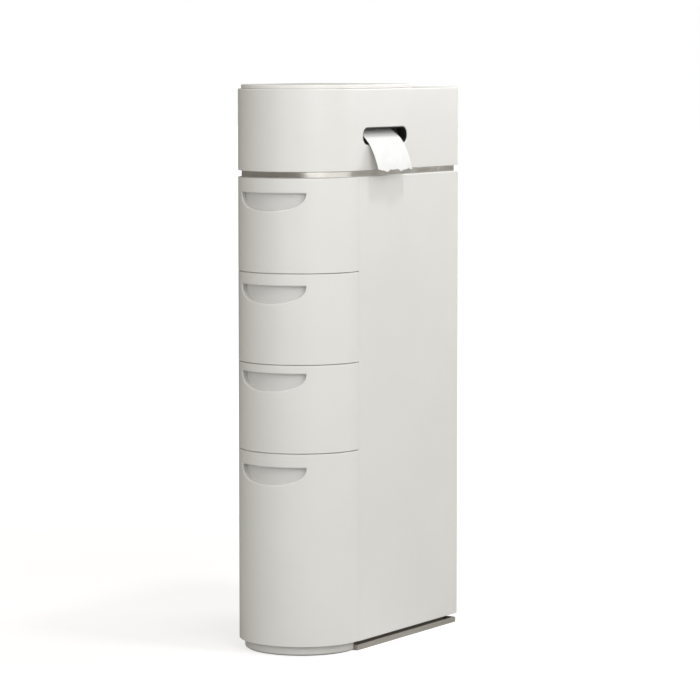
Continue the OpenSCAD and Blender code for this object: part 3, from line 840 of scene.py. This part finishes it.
def hinge_lug(side):
    radius = HINGE_Z - BOX_TOP - LID_GAP
    lug = rod("lug", (side * LUG_X, HINGE_Y, HINGE_Z), radius, LUG_W, 48, ALONG_X)
    pick_points(lambda p: p.z < HINGE_Z - SAME)
    bpy.ops.transform.resize(value=(1, 1, 0), center_override=(0, 0, BOX_TOP - MM))
    object_mode()
    round_sharp_edges(lug, SMALL_ROUND)
    return lug


def top_box():
    box = nosed_solid("paper_box", HALF_W, BOX_LOW, BOX_TOP, BACK_Y, REAR_CORNER)
    round_edges(box, lambda p: near(p.z, BOX_TOP), BOX_RIM_ROUND, 5)
    round_edges(box, lambda p: near(p.z, BOX_LOW), BOX_FOOT_ROUND, 3)
    hollow = nosed_solid("hollow", HALF_W - WALL, BOX_LOW + WALL, BOX_TOP - WALL, BACK_Y - WALL, MM)
    mouth = nosed_solid("mouth", HALF_W - MOUTH_RIM, BOX_TOP - 2 * WALL, BOX_TOP + MM, MOUTH_BACK)
    for cutter in (hollow, mouth, slot_cutter(HALF_W - 2 * WALL, HALF_W + MM)):
        cut(box, cutter)

    def on_slot_edge(p):
        return near(p.x, HALF_W) and abs(p.z - SLOT_Z) < SLOT_H and abs(p.y - SLOT_Y) < SLOT_L / 2 + SAME

    def on_mouth_edge(p):
        inside = p.y < MOUTH_BACK + SAME and nose_distance(p) < HALF_W - MOUTH_RIM + SAME
        return near(p.z, BOX_TOP) and inside

    round_edges(box, on_slot_edge, SLOT_ROUND)
    round_edges(box, on_mouth_edge, MOUTH_ROUND, 3)
    face_outwards(box)
    join(box, *[hinge_lug(side) for side in SIDES])
    smooth(box)
    settle(box, "carcass", "gloss_white", "top_box")


top_box()

# %% [markdown]
# ## The lid
# The lid is a shallow cap with a soft upper rim, a hollow underside and a lip that drops into the
# mouth of the box. At the rear it ends in a round barrel about the hinge pins, notched where the
# two lugs of the box stand.

# %% Lid
LID_LOW = BOX_TOP + LID_GAP
LID_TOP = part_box("lid")[1].z
LID_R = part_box("lid")[1].x
LIP_R = HALF_W - 13.5 * MM
LIP_BACK = MOUTH_BACK - 1.5 * MM
LIP_WALL, LIP_ROUND = 2 * MM, 0.5 * MM
LID_ROUND, BARREL_ROUND = 2.0 * MM, 0.8 * MM
SKIN = 2.5 * MM
NOTCH = (LUG_W + MM, 11 * MM, 12 * MM)


def lid():
    cap = nosed_solid("lid_cap", LID_R, LID_LOW, LID_TOP, HINGE_Y)
    round_edges(cap, lambda p: near(p.z, LID_TOP), LID_ROUND, 5)
    pick_faces(lambda centre, normal: normal.z < -0.9 and near(centre.z, LID_LOW))
    bpy.ops.mesh.inset(thickness=SKIN)
    extrude_faces(z=LID_TOP - SKIN - LID_LOW)
    object_mode()
    barrel = rod("barrel", (0, HINGE_Y, HINGE_Z), (LID_TOP - LID_LOW) / 2, 2 * LID_R, 64, ALONG_X)
    round_sharp_edges(barrel, BARREL_ROUND, 3)
    lip = nosed_ring("lip", LIP_R, BOX_TOP - LIP_DROP, LID_TOP - SKIN / 2, LIP_BACK, LIP_WALL)
    round_sharp_edges(lip, LIP_ROUND)
    join_solid(cap, barrel)
    for side in SIDES:
        cut(cap, block("notch", (side * LUG_X, HINGE_Y, HINGE_Z), NOTCH))
    face_outwards(cap)
    join(cap, lip)
    smooth(cap)
    settle(cap, "lid", "gloss_white", "lid")


lid()

# %% [markdown]
# ## Side panels
# The flat sides are plain panels whose rear outer edge turns round a small radius. Each has rows of
# studs inside that carry the rails and shelves; they show in the empty bay when a drawer is open.

# %% Side panels
STUD_R = 2 * MM
RAIL_STUD_L, SHELF_STUD_L = 2 * MM, 2.5 * MM
RAIL_STUD_YS = (-69 * MM, 55.5 * MM, 170 * MM)
SHELF_STUD_YS = (-84 * MM, 140 * MM, 185 * MM)
BASE_STUD_UP, SHELF_STUD_UP = 7.5 * MM, 4.5 * MM
SHELVES = ("base_shelf", "shelf_1", "shelf_2", "shelf_3", "top_deck")
REAR_ROUND = 2.9 * MM


def up_from_shelf(shelf, base_up, shelf_up):
    """A height over the underside of a shelf, or for the base shelf over the foot of the body."""
    return BODY_LOW + base_up if shelf == "base_shelf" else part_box(shelf)[0].z + shelf_up


def stud_places():
    """The y, z and length of every stud: three for each rail and three for each shelf."""
    places = []
    for n in DRAWERS:
        low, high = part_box(f"right_rail_{n}")
        places += [(y, (low.z + high.z) / 2, RAIL_STUD_L) for y in RAIL_STUD_YS]
    for shelf in SHELVES:
        z = up_from_shelf(shelf, BASE_STUD_UP, SHELF_STUD_UP)
        places += [(y, z, SHELF_STUD_L) for y in SHELF_STUD_YS]
    return places


def panel_stud(side, y, z, length):
    x = side * (HALF_W - WALL - length / 2)
    stud = rod("stud", (x, y, z), STUD_R, length, turn=ALONG_X)
    round_sharp_edges(stud, 0.3 * MM)
    return stud


def side_panel(side):
    low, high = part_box("right_side_panel")
    hand = "right" if side > 0 else "left"
    size = (WALL, high.y - low.y, high.z - low.z)
    centre = (side * (HALF_W - WALL / 2), (low.y + high.y) / 2, (low.z + high.z) / 2)
    panel = block(f"panel_{hand}", centre, size)
    round_edges(panel, lambda p: near(p.x, side * HALF_W) and near(p.y, high.y), REAR_ROUND, 6)
    round_edges(panel, lambda p: near(p.x, side * HALF_W) and near(p.y, low.y), SEAM_ROUND, 3)
    for level in (high.z, low.z):
        round_edges(panel, lambda p: near(p.z, level) and abs(p.x) > HALF_W - WALL / 2, SEAM_ROUND, 3)
    face_outwards(panel)
    join(panel, *[panel_stud(side, y, z, length) for y, z, length in stud_places()])
    smooth(panel)
    settle(panel, "carcass", "gloss_white", f"{hand}_side_panel")


for side in SIDES:
    side_panel(side)

# %% [markdown]
# ## Bright band and toe skirt
# Both are thin walls that follow the nosed outline. The band's edges are rounded, so that each shows
# a thin line of its own beside the even reflection, as plated trim does. The toe skirt only goes
# round the nose, under the lowest drawer. Its lower edge is rounded more, so that the skirt ends in
# a dark line just over the floor.

# %% Bright band and toe skirt
BAND_WALL, BAND_ROUND = 2.5 * MM, 1.2 * MM
TOE_WALL, TOE_ROUND, TOE_EDGE = 3 * MM, 2.4 * MM, 0.6 * MM


def trim_band():
    low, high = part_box("trim_band")
    band = nosed_ring("bright_band", high.x, low.z, high.z, high.y, BAND_WALL)
    round_sharp_edges(band, BAND_ROUND, 4)
    smooth(band, 40)
    settle(band, "carcass", "bright_trim", "trim_band")


def toe_skirt():
    low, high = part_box("toe_skirt")
    skirt = nosed_ring("toe_wall", high.x, low.z, high.z, high.y, TOE_WALL, close=False)
    round_edges(skirt, lambda p: near(p.z, low.z) and nose_distance(p) > high.x - MM, TOE_ROUND, 5)
    round_sharp_edges(skirt, TOE_EDGE, 3, over=60)
    smooth(skirt, 40)
    settle(skirt, "carcass", "satin_white", "toe_skirt")


trim_band()
toe_skirt()

# %% [markdown]
# ## The plinth
# The plinth stands almost flush under the side panels, and shows there as a grey strip with a dark
# gap over it. Its grey is partly its own tone and partly painted shade, made darker to deepen that
# gap. In front it follows the nose, further in, to leave room for the toe skirt. The open chain of
# the nose is widened at its two ends, drawn back and closed. That outline is used twice: filled for
# the floor plate, and drawn up for the rim. The plate is drawn a little smaller, because Booleans of
# faces in one plane can leave gaps. A second, narrower wall with three ribs carries the body.

# %% Plinth
PLINTH_LOW, PLINTH_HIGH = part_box("base_plinth")
TOE_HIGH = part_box("toe_skirt")[1]
PLINTH_NOSE = TOE_HIGH.x - 3.3 * MM
WIDE_FROM = TOE_HIGH.y + MM
PLINTH_RIM = 8.5 * MM
PLINTH_FLOOR = 3 * MM
RISER_IN = 17 * MM
RIB_YS = (-65 * MM, 40 * MM, 145 * MM)
RIB_T = 2 * MM
PAD_R, PAD_H = 8 * MM, 6 * MM
POCKET_R, POCKET_L = 4.05 * MM, 8 * MM
PAD_X, PAD_YS = 55 * MM, (-100 * MM, 160 * MM)
PAD_PLACES = [(side * PAD_X, y) for side in SIDES for y in PAD_YS]
RIM_ROUND, RISER_ROUND = 1.0 * MM, 0.5 * MM


def plinth_loop(name, inset):
    """The plinth's outline seen from above, drawn smaller by inset."""
    radius, front = PLINTH_NOSE - inset, WIDE_FROM + inset
    obj = nosed_loop(name, radius, PLINTH_LOW.z, front, close=False)
    pick_points(lambda p: near(p.y, front))
    bpy.ops.mesh.extrude_vertices_move()
    bpy.ops.transform.resize(value=((PLINTH_HIGH.x - inset) / radius, 1, 1), center_override=(0, 0, 0))
    extrude_points(PLINTH_HIGH.y - inset - front)
    bpy.ops.mesh.edge_face_add()
    object_mode()
    return obj


def plinth_plate():
    plate = plinth_loop("plinth_foot", WALL / 3)
    fill(plate)
    raise_solid(plate, PLINTH_FLOOR)
    for x, y in PAD_PLACES:
        join_solid(plate, rod("pad", (x, y, PAD_H / 2), PAD_R, PAD_H, 48))
    for x, y in PAD_PLACES:
        cut(plate, rod("pocket", (x, y, PLINTH_FLOOR - POCKET_L / 2), POCKET_R, POCKET_L, 48))
    return plate


def plinth_rim():
    rim = raise_wall(plinth_loop("plinth_rim", 0), PLINTH_RIM, WALL)
    round_edges(rim, lambda p: near(p.z, PLINTH_RIM), RIM_ROUND)
    return rim


def base_plinth():
    plate = plinth_plate()
    riser = nosed_ring("riser", HALF_W - RISER_IN, PLINTH_LOW.z, PLINTH_HIGH.z, BACK_Y - RISER_IN, WALL)
    round_sharp_edges(riser, RISER_ROUND)
    join_solid(plate, plinth_rim())
    join_solid(plate, riser)
    for y in RIB_YS:
        size = (2 * (HALF_W - RISER_IN - MM), RIB_T, PLINTH_HIGH.z)
        join_solid(plate, block("rib", (0, y + RIB_T / 2, PLINTH_HIGH.z / 2), size))
    smooth(plate, 40)
    # the plinth's dark grey is partly painted shade for the gap under the side panels
    settle(plate, "carcass", "plinth_grey", "base_plinth")


base_plinth()

# %% [markdown]
# ## Trays
# Each tray is a deep box with a round front. A real one is moulded with a wide fillet round its
# floor and soft edges on its rim, which a plain box lacks. The block is joined with the flange that
# runs in the rails, and the hollow is then cut out with a cutter whose own lower edge is rounded, so
# that the fillet comes from the cutter. All of these stand over the rim by different amounts and
# are cut level last, because Booleans of faces in one plane can leave gaps. The flange stays open
# in front, where the finger cup is.

# %% Trays
RAIL_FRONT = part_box("left_rail_1")[0].y
TRAY_R = HALF_W - 14 * MM
TRAY_WALL = 2 * MM
TRAY_CORNER = 10 * MM
TRAY_FILLET = 4 * MM
FLANGE_W = 8 * MM
FLANGE_RING = HALF_W - 3.3 * MM
FLANGE_GAP = 64.7 * MM


def tray_flange(top, back):
    """The flange along the rim: a ring round the nose, open in front, and a strip on each side."""
    ring_end = FRONT_END - QUARTER + NOSE_Y
    ring_w = FLANGE_RING - TRAY_R + MM
    ring = nosed_ring("flange", FLANGE_RING, top - FLANGE_T, top + 2 * MM, ring_end, ring_w, close=False)
    cut(ring, block("opening", (0, NOSE_Y - HALF_W / 2, top), (2 * FLANGE_GAP, HALF_W, 4 * FLANGE_T)))
    x, y = TRAY_R + (FLANGE_W - MM) / 2, (RAIL_FRONT + back) / 2
    size = (FLANGE_W + MM, back - RAIL_FRONT, 2 * FLANGE_T)
    return [ring, *[block("strip", (side * x, y, top), size) for side in SIDES]]


def drawer_tray(n):
    low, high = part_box(f"drawer_{n}_tray")
    tray = nosed_solid(f"tray_shell_{n}", TRAY_R, low.z, high.z + MM, high.y, TRAY_CORNER)
    round_edges(tray, lambda p: near(p.z, low.z), TRAY_FILLET, 5)
    for part in tray_flange(high.z, high.y):
        join_solid(tray, part)
    hollow = nosed_solid("hollow", TRAY_R - TRAY_WALL, low.z + TRAY_WALL, high.z + 4 * MM,
                         high.y - TRAY_WALL, TRAY_CORNER - TRAY_WALL)
    round_edges(hollow, lambda p: near(p.z, low.z + TRAY_WALL), TRAY_FILLET, 5)
    cut(tray, hollow)
    cut(tray, block("above_rim", (0, 0, high.z + HALF_W / 2), (3 * HALF_W, 6 * HALF_W, HALF_W)))
    face_outwards(tray)
    round_sharp_edges(tray, SMALL_ROUND, over=60)
    smooth(tray, 40)
    settle(tray, f"drawer_{n}", "satin_white", f"drawer_{n}_tray")


for n in DRAWERS:
    drawer_tray(n)

# %% [markdown]
# ## Screws
# Eight sets of screws hold the tower together. They show on the back, under the lid and on the rims
# of open trays. Each screw has a rounded head with a cross recess over a shank with a blunt point.
# One is modelled upright for each set. Its copies get their own meshes, are turned and moved to
# their seats, and are joined.

# %% Screws
LARGE_HEAD = (3.8 * MM, 2.2 * MM, 1.95 * MM)
SMALL_HEAD = (2.6 * MM, 1.6 * MM, 1.3 * MM)
HEAD_ROUND, HEAD_SUNK = 0.4, 0.2          # shares of the head's height
CROSS_LENGTH, CROSS_WIDTH, CROSS_HEIGHT = 1.1, 0.24, 1.2
BLUNT_END = 0.4
UPRIGHT, DOWNWARD, BACKWARD = (0, 0, 0), (math.pi, 0, 0), (-math.pi / 2, 0, 0)
BASE_SCREW_UP, SHELF_SCREW_UP = 7 * MM, 5 * MM
BACK_SCREW_X, BOX_SCREW_X, BRACKET_SCREW_X = 60 * MM, 70 * MM, 15 * MM
BOX_SCREW_YS = (-105 * MM, 180 * MM)
BRACKET_SCREW_YS = (-87 * MM, 47 * MM)


def upright_screw(head_sizes, length):
    """A screw whose head sits on z = 0. The sizes are head radius, head height and shank radius."""
    head_r, head_h, shank_r = head_sizes
    screw = rod("screw", (0, 0, head_h / 2), head_r, head_h, 32)
    round_edges(screw, lambda p: near(p.z, head_h), head_h * HEAD_ROUND)
    cross = (head_r * CROSS_LENGTH, head_r * CROSS_WIDTH, head_h * CROSS_HEIGHT)
    for turn in (0, math.pi / 2):
        cut(screw, block("recess", (0, 0, head_h), cross, (0, 0, turn)))
    point_l, sunk = shank_r, head_h * HEAD_SUNK
    straight_l = length - point_l + sunk
    shank = rod("shank", (0, 0, sunk - straight_l / 2), shank_r, straight_l)
    pick_faces(lambda centre, normal: normal.z < -0.9)
    extrude_faces(z=-point_l)
    bpy.ops.transform.resize(value=(BLUNT_END, BLUNT_END, 1), center_override=(0, 0, 0))
    object_mode()
    join_solid(screw, shank)
    face_outwards(screw)
    return screw


def screw_set(node, body, screw, turn, seats):
    """Puts a copy of the screw at every seat, turned to face, and joins them as one piece."""
    copies = []
    for seat in seats:
        placed = screw.copy()
        placed.data = screw.data.copy()
        bpy.context.scene.collection.objects.link(placed)
        use(placed)
        placed.rotation_euler = turn
        placed.location = seat
        copies.append(named(f"{node}_set"))
    bpy.data.objects.remove(screw)
    whole = join(*copies)
    smooth(whole, 40)
    settle(whole, body, "screw_steel", node)


def paired(x, places):
    """A seat on the left and on the right for every place, given as its y and z."""
    return [(side * x, y, z) for side in SIDES for y, z in places]


plinth_seats = [(x, y, PLINTH_FLOOR) for x, y in PAD_PLACES]
back_y = BACK_Y - LARGE_HEAD[1]
back_seats = paired(BACK_SCREW_X, [(back_y, up_from_shelf(shelf, BASE_SCREW_UP, SHELF_SCREW_UP))
                                   for shelf in SHELVES])
box_seats = paired(BOX_SCREW_X, [(y, BOX_LOW + WALL) for y in BOX_SCREW_YS])
bracket_seats = paired(BRACKET_SCREW_X, [(y, BOX_LOW + 2 * WALL) for y in BRACKET_SCREW_YS])
screw_set("base_screws", "carcass", upright_screw(LARGE_HEAD, 10 * MM), DOWNWARD, plinth_seats)
screw_set("back_screws", "carcass", upright_screw(LARGE_HEAD, 10 * MM), BACKWARD, back_seats)
screw_set("box_screws", "carcass", upright_screw(LARGE_HEAD, 11 * MM), UPRIGHT, box_seats)
screw_set("bracket_screws", "carcass", upright_screw(SMALL_HEAD, 5.2 * MM), UPRIGHT, bracket_seats)
for n in DRAWERS:
    rim_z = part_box(f"drawer_{n}_tray")[1].z
    tray_seats = [on_boss_ring(turn, rim_z)[0] for turn in BOSS_TURNS]
    screw_set(f"drawer_{n}_screws", f"drawer_{n}", upright_screw(SMALL_HEAD, 12 * MM), UPRIGHT, tray_seats)

# %% [markdown]
# ## The paper slot's sleeve
# The sleeve is a near-black tube with a rounded mouth, set back a little in the slot, and a flange
# against the inside of the wall. Its black is painted shade, so that the inside of the slot reads
# dark. Its shape is one closed profile carried round a bar with round ends. So a grid is laid whose
# columns go round the bar and whose rows follow the profile, and the two seams where it meets
# itself are then merged.

# %% Slot sleeve
SLEEVE_WALL = 1.3 * MM
SLEEVE_MOUTH_X = HALF_W - MM
FLANGE_REACH, REACH_T = 4 * MM, 2 * MM
FLANGE_X = HALF_W - WALL
SLEEVE_OUTER = SLOT_H / 2 - 0.15 * MM
SLEEVE_INNER = SLEEVE_OUTER - SLEEVE_WALL
HALF_STRAIGHT = (SLOT_L - SLOT_H) / 2
SLEEVE_PROFILE = (
    (SLEEVE_LOW.x, SLEEVE_INNER),
    (SLEEVE_MOUTH_X, SLEEVE_INNER),
    (SLEEVE_MOUTH_X, SLEEVE_OUTER),
    (FLANGE_X, SLEEVE_OUTER),
    (FLANGE_X, SLEEVE_OUTER + FLANGE_REACH),
    (FLANGE_X - REACH_T, SLEEVE_OUTER + FLANGE_REACH),
    (FLANGE_X - REACH_T, SLEEVE_OUTER),
    (SLEEVE_LOW.x, SLEEVE_OUTER),
    (SLEEVE_LOW.x, SLEEVE_INNER),
)
TURN_STEPS = 24


def sleeve_point(col, row):
    """Half the columns go round one end of the bar and half round the other."""
    x, radius = SLEEVE_PROFILE[row]
    end, step = divmod(col % (2 * (TURN_STEPS + 1)), TURN_STEPS + 1)
    side = 1 if end == 0 else -1
    turn = math.pi * step / TURN_STEPS - math.pi / 2
    y = SLOT_Y + side * (HALF_STRAIGHT + radius * math.cos(turn))
    return x, y, SLOT_Z + side * radius * math.sin(turn)


def slot_sleeve():
    cols, rows = 2 * (TURN_STEPS + 1), len(SLEEVE_PROFILE) - 1
    sleeve = laid_grid("sleeve_tube", cols, rows, sleeve_point)
    face_outwards(sleeve)
    round_sharp_edges(sleeve, SMALL_ROUND, 3)
    smooth(sleeve, 40)
    # the sleeve's black is painted shade for the inside of the slot
    settle(sleeve, "carcass", "sleeve_black", "slot_sleeve")


slot_sleeve()

# %% [markdown]
# ## The loose paper
# The strip leaves the roll in a straight line, bends over the lip of the slot and hangs down, a
# sheet of fixed length and width. A flat grid is laid along that path by its length, so nothing is
# stretched. Its torn end is a wavy line, the strip ripples a little more the further it hangs, and
# its edges curl. Last it gets the thickness of two plies.

# %% Loose paper
PAPER_LOW, PAPER_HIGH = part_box("loose_paper")
PAPER_W = PAPER_HIGH.y - PAPER_LOW.y
PAPER_Y = (PAPER_HIGH.y + PAPER_LOW.y) / 2
ROLL_LOW, ROLL_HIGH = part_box("paper_roll")
ROLL_R = (ROLL_HIGH.x - ROLL_LOW.x) / 2
ROLL_Z = (ROLL_HIGH.z + ROLL_LOW.z) / 2
FREE_R = ROLL_R + 0.6 * MM
BEND = Vector((HALF_W - 12 * MM, SLOT_Z - SLOT_H / 2 + 15.6 * MM))
LIP_ANGLE, HANG_ANGLE = math.radians(60), math.radians(79)
LIP_RADIUS, HANG_RADIUS = 60 * MM, 129 * MM
RIPPLE, CURL, RIPPLE_FROM = 1.3 * MM, 0.8 * MM, 0.6
TWO_PLIES = 0.15 * MM


def paper_stretches():
    """The path as a list of (length, slope at its start, slope at its end)."""
    away = math.hypot(BEND.x, BEND.y - ROLL_Z)
    leave = math.asin(FREE_R / away) - math.atan2(BEND.y - ROLL_Z, BEND.x)
    start = Vector((FREE_R * math.sin(leave), ROLL_Z + FREE_R * math.cos(leave)))
    runs = [((BEND - start).length, leave, leave)]
    runs.append((LIP_RADIUS * (LIP_ANGLE - leave), leave, LIP_ANGLE))
    runs.append((HANG_RADIUS * (HANG_ANGLE - LIP_ANGLE), LIP_ANGLE, HANG_ANGLE))
    return start, runs


def paper_place(start, runs, distance):
    """The point and the slope of the path at a distance from its start."""
    point = start.copy()
    for length, first, last in runs:
        part = min(distance, length)
        slope = mix(first, last, part / length)
        if last == first:
            point += part * Vector((math.cos(first), -math.sin(first)))
        else:
            radius = length / (last - first)
            point += radius * Vector((math.sin(slope) - math.sin(first), math.cos(slope) - math.cos(first)))
        distance -= part
        if distance <= 0:
            break
    return point, slope


def torn_end(across):
    """How much shorter the strip is at a place across it; across runs from -1 to 1."""
    waves = 1.6 * math.cos(7.5 * across + 0.6) + 0.9 * math.sin(17 * across) + 0.4 * math.sin(41 * across)
    return (2.2 + waves) * MM


def loose_paper():
    cols, rows = 52, 70
    start, runs = paper_stretches()
    full = sum(run[0] for run in runs)

    def strip_point(i, j):
        across, share = i / cols * 2 - 1, j / rows
        place, slope = paper_place(start, runs, (full - torn_end(across)) * share)
        hang = max(0.0, (share - RIPPLE_FROM) / (1 - RIPPLE_FROM))
        lift = hang * (RIPPLE * math.sin(5.2 * across + 0.5) - CURL * across ** 4)
        place += lift * Vector((math.sin(slope), math.cos(slope)))
        return place.x, PAPER_Y + across * PAPER_W / 2, place.y

    strip = laid_grid("paper_strip", cols, rows, strip_point)
    apply_modifier(strip, "SOLIDIFY", thickness=TWO_PLIES, offset=0)
    face_outwards(strip)
    smooth(strip, 60)
    settle(strip, "carcass", "tissue", "loose_paper")
    print("paper", round(full, 4), "m long")


loose_paper()

# %% [markdown]
# ## The roll of paper
# The roll is wound tissue: its round face is soft and its two ends show the edges of the turns. A
# short profile is spun about the axis. Its end faces are drawn as shallow steps, one for every few
# turns, so that the winding shows in the shape and not only in the shading. A circle primitive gives
# the profile its closed chain of points, and each point is then moved to its place.

# %% Paper roll
ROLL_Y = (ROLL_HIGH.y + ROLL_LOW.y) / 2
CORE_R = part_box("roll_core")[1].x


def roll_profile(half_l, turns=22):
    """Radius and distance from the middle, from the core outwards to the round face."""
    profile = []
    for k in range(turns + 1):
        radius = mix(CORE_R + 0.05 * MM, ROLL_R - 0.6 * MM, k / turns)
        dip = 0.35 * MM * (k % 2) + 0.25 * MM * math.sin(k * 1.7)
        profile.append((radius, half_l - 0.6 * MM - dip))
    profile.append((ROLL_R - 0.15 * MM, half_l - 0.7 * MM))
    profile.append((ROLL_R, half_l - 1.6 * MM))
    return profile


def paper_roll():
    profile = roll_profile(PAPER_W / 2)
    rim = profile + [(radius, -out) for radius, out in reversed(profile)]
    bpy.ops.mesh.primitive_circle_add(vertices=len(rim))
    roll = named("wound_paper")
    for point, (radius, out) in zip(roll.data.vertices, rim):
        point.co = (0, ROLL_Y + out, ROLL_Z + radius)
    pick_all()
    bpy.ops.mesh.spin(steps=96, angle=2 * math.pi, center=(0, ROLL_Y, ROLL_Z), axis=(0, 1, 0))
    face_outwards(roll)
    smooth(roll, 40)
    settle(roll, "roll", "tissue", "paper_roll")


paper_roll()

# %% [markdown]
# ## A white ground that keeps the shadow
# The picture has a white ground, but a white room would also light the tower from all sides and
# make it flat. So the world has two faces. Rays from the camera see plain white. The light that
# falls on the tower comes at a lower, plain level and a little warm, as from the walls of a room.
# What glossy faces mirror is that room: white where the window is, on the side of the paper slot,
# and darker elsewhere, without which plating looks like paint. The floor works alike: to the
# camera it adds just enough light of its own to reach white, a little less near the tower, so that
# the soft shadow under it still shows.

# %% World and floor
WORLD_LEVEL = 0.35
WORLD_TINT = (1.0, 0.93, 0.81)
MIRROR_DARK, MIRROR_BRIGHT = 0.27, 1.0
WINDOW_AHEAD, WINDOW_EDGE = (1.0, 0.0, 0.0), (0.35, 0.95)
FLOOR_COLOUR = (0.40, 0.40, 0.395)
FLOOR_NEAR, FLOOR_FAR = 0.70, 1.0
SHADOW_REACH = (0.6, 3.0)


def ray_kind(tree, *kinds):
    """1 for the named kinds of ray and 0 for the rest."""
    path = tree.nodes.new("ShaderNodeLightPath")
    total = path.outputs[kinds[0]]
    for kind in kinds[1:]:
        inputs = {0: total, 1: path.outputs[kind]}
        total = add_node(tree, "Math", inputs, operation="MAXIMUM").outputs["Value"]
    return total


def ramp(tree, source, low, high, at_low=0.0, at_high=1.0):
    """A soft step from low to high while the source runs from at_low to at_high."""
    inputs = {"Value": source, "From Min": at_low, "From Max": at_high, "To Min": low, "To Max": high}
    return add_node(tree, "MapRange", inputs, interpolation_type="SMOOTHSTEP").outputs["Result"]


def mirrored_level(tree, direction):
    """What a glossy face sees that way: a bright window ahead on the right, dim elsewhere."""
    unit = add_node(tree, "VectorMath", {0: direction}, operation="NORMALIZE").outputs["Vector"]
    inputs = {0: unit, 1: WINDOW_AHEAD}
    towards = add_node(tree, "VectorMath", inputs, operation="DOT_PRODUCT").outputs["Value"]
    return ramp(tree, towards, MIRROR_DARK, MIRROR_BRIGHT, *WINDOW_EDGE)


def studio_world():
    world = bpy.data.worlds.new("studio")
    bpy.context.scene.world = world
    world.use_nodes = True
    tree = world.node_tree
    direction = tree.nodes.new("ShaderNodeTexCoord").outputs["Generated"]
    mirrored = mirrored_level(tree, direction)
    glossy = ray_kind(tree, "Is Glossy Ray", "Is Transmission Ray")
    seen = ray_kind(tree, "Is Camera Ray")
    feed(tree, tree.nodes["Background"], {
        "Strength": ramp(tree, seen, ramp(tree, glossy, WORLD_LEVEL, mirrored), 1.0),
        "Color": colour_mix(tree, seen, WORLD_TINT, (1, 1, 1)),
    })


def studio_floor():
    bpy.ops.object.select_all(action="DESELECT")
    bpy.ops.mesh.primitive_plane_add(size=60, location=(0, 0, 0))
    floor = named("floor")
    tree, shader, place = start_material("floor_white")
    dust = noise(tree, place, 300 * MM, 3)
    away = add_node(tree, "VectorMath", {0: place}, operation="LENGTH").outputs["Value"]
    own_light = ramp(tree, away, FLOOR_NEAR, FLOOR_FAR, *SHADOW_REACH)
    mirrored = ramp(tree, mirrored_level(tree, place), 0.0, 1.0 - MIRROR_DARK, MIRROR_DARK, MIRROR_BRIGHT)
    glossy = ray_kind(tree, "Is Glossy Ray", "Is Transmission Ray")
    feed(tree, shader, {
        "Base Color": (*FLOOR_COLOUR, 1),
        "Roughness": spread_to(tree, dust, 0.85, 0.95),
        "Emission Color": (1, 1, 1, 1),
        "Emission Strength": ramp(tree, ray_kind(tree, "Is Camera Ray"),
                                  ramp(tree, glossy, 0.0, mirrored), own_light),
    })
    floor.data.materials.append(finishes["floor_white"])


studio_world()
studio_floor()
print("white ground")

# %% [markdown]
# ## Four lamps
# The tower is lit from its right and from above, as beside a high window. The large lamp on the
# right, in front of the slot, lights the nose and the lower rims of the finger recesses. The one
# behind it lights the flat side more at its top than at its foot. A low, weaker lamp in front looks
# in under the upper rims of the recesses. A small lamp high over the slot draws the shadow of the
# paper on the wall below it. The front lamp is hidden from mirrors, because the bright band would
# show it as a white blot where the real band shows a dim room.

# %% Lamps
LAMP_TINT = (0.975, 1.0, 1.03)
LARGE, SMALL = 1.4, 0.3
MIDDLE = Vector((0, 0, 0.5))


def lamp(name, place, size, power):
    """A square lamp that looks at the middle of the tower."""
    data = bpy.data.lights.new(name, "AREA")
    data.size = size
    data.energy = power
    data.color = LAMP_TINT
    obj = bpy.data.objects.new(name, data)
    bpy.context.scene.collection.objects.link(obj)
    obj.location = place
    obj.rotation_euler = (MIDDLE - Vector(place)).to_track_quat("-Z", "Y").to_euler()
    return obj


lamp("right_lamp", (1.700, -1.190, 1.603), LARGE, 18.9)
lamp("rear_lamp", (1.190, 1.700, 1.603), LARGE, 24.4)
lamp("ceiling_lamp", (0.95, -0.1, 3.0), SMALL, 21.0)
front_lamp = lamp("front_lamp", (0.202, -2.312, 0.868), LARGE, 13.7)
front_lamp.visible_glossy = False
print("four lamps")

# %% [markdown]
# ## The camera
# The camera stands where the photographer's stood. It was found from the tower's own seams, edges
# and corners: their places in the picture fix the lens, the distance and the three angles together.

# %% Camera
camera_data = bpy.data.cameras.new("camera")
camera = bpy.data.objects.new("camera", camera_data)
bpy.context.scene.collection.objects.link(camera)
camera.location = (2.7566, -4.3390, 0.9436)
camera.rotation_euler = (math.radians(84.691), 0, math.radians(32.23))
camera_data.lens = 164.45
camera_data.sensor_width = 36
bpy.context.scene.camera = camera
bpy.context.scene.view_settings.view_transform = "Standard"
print("camera at", [round(v, 3) for v in camera.location])
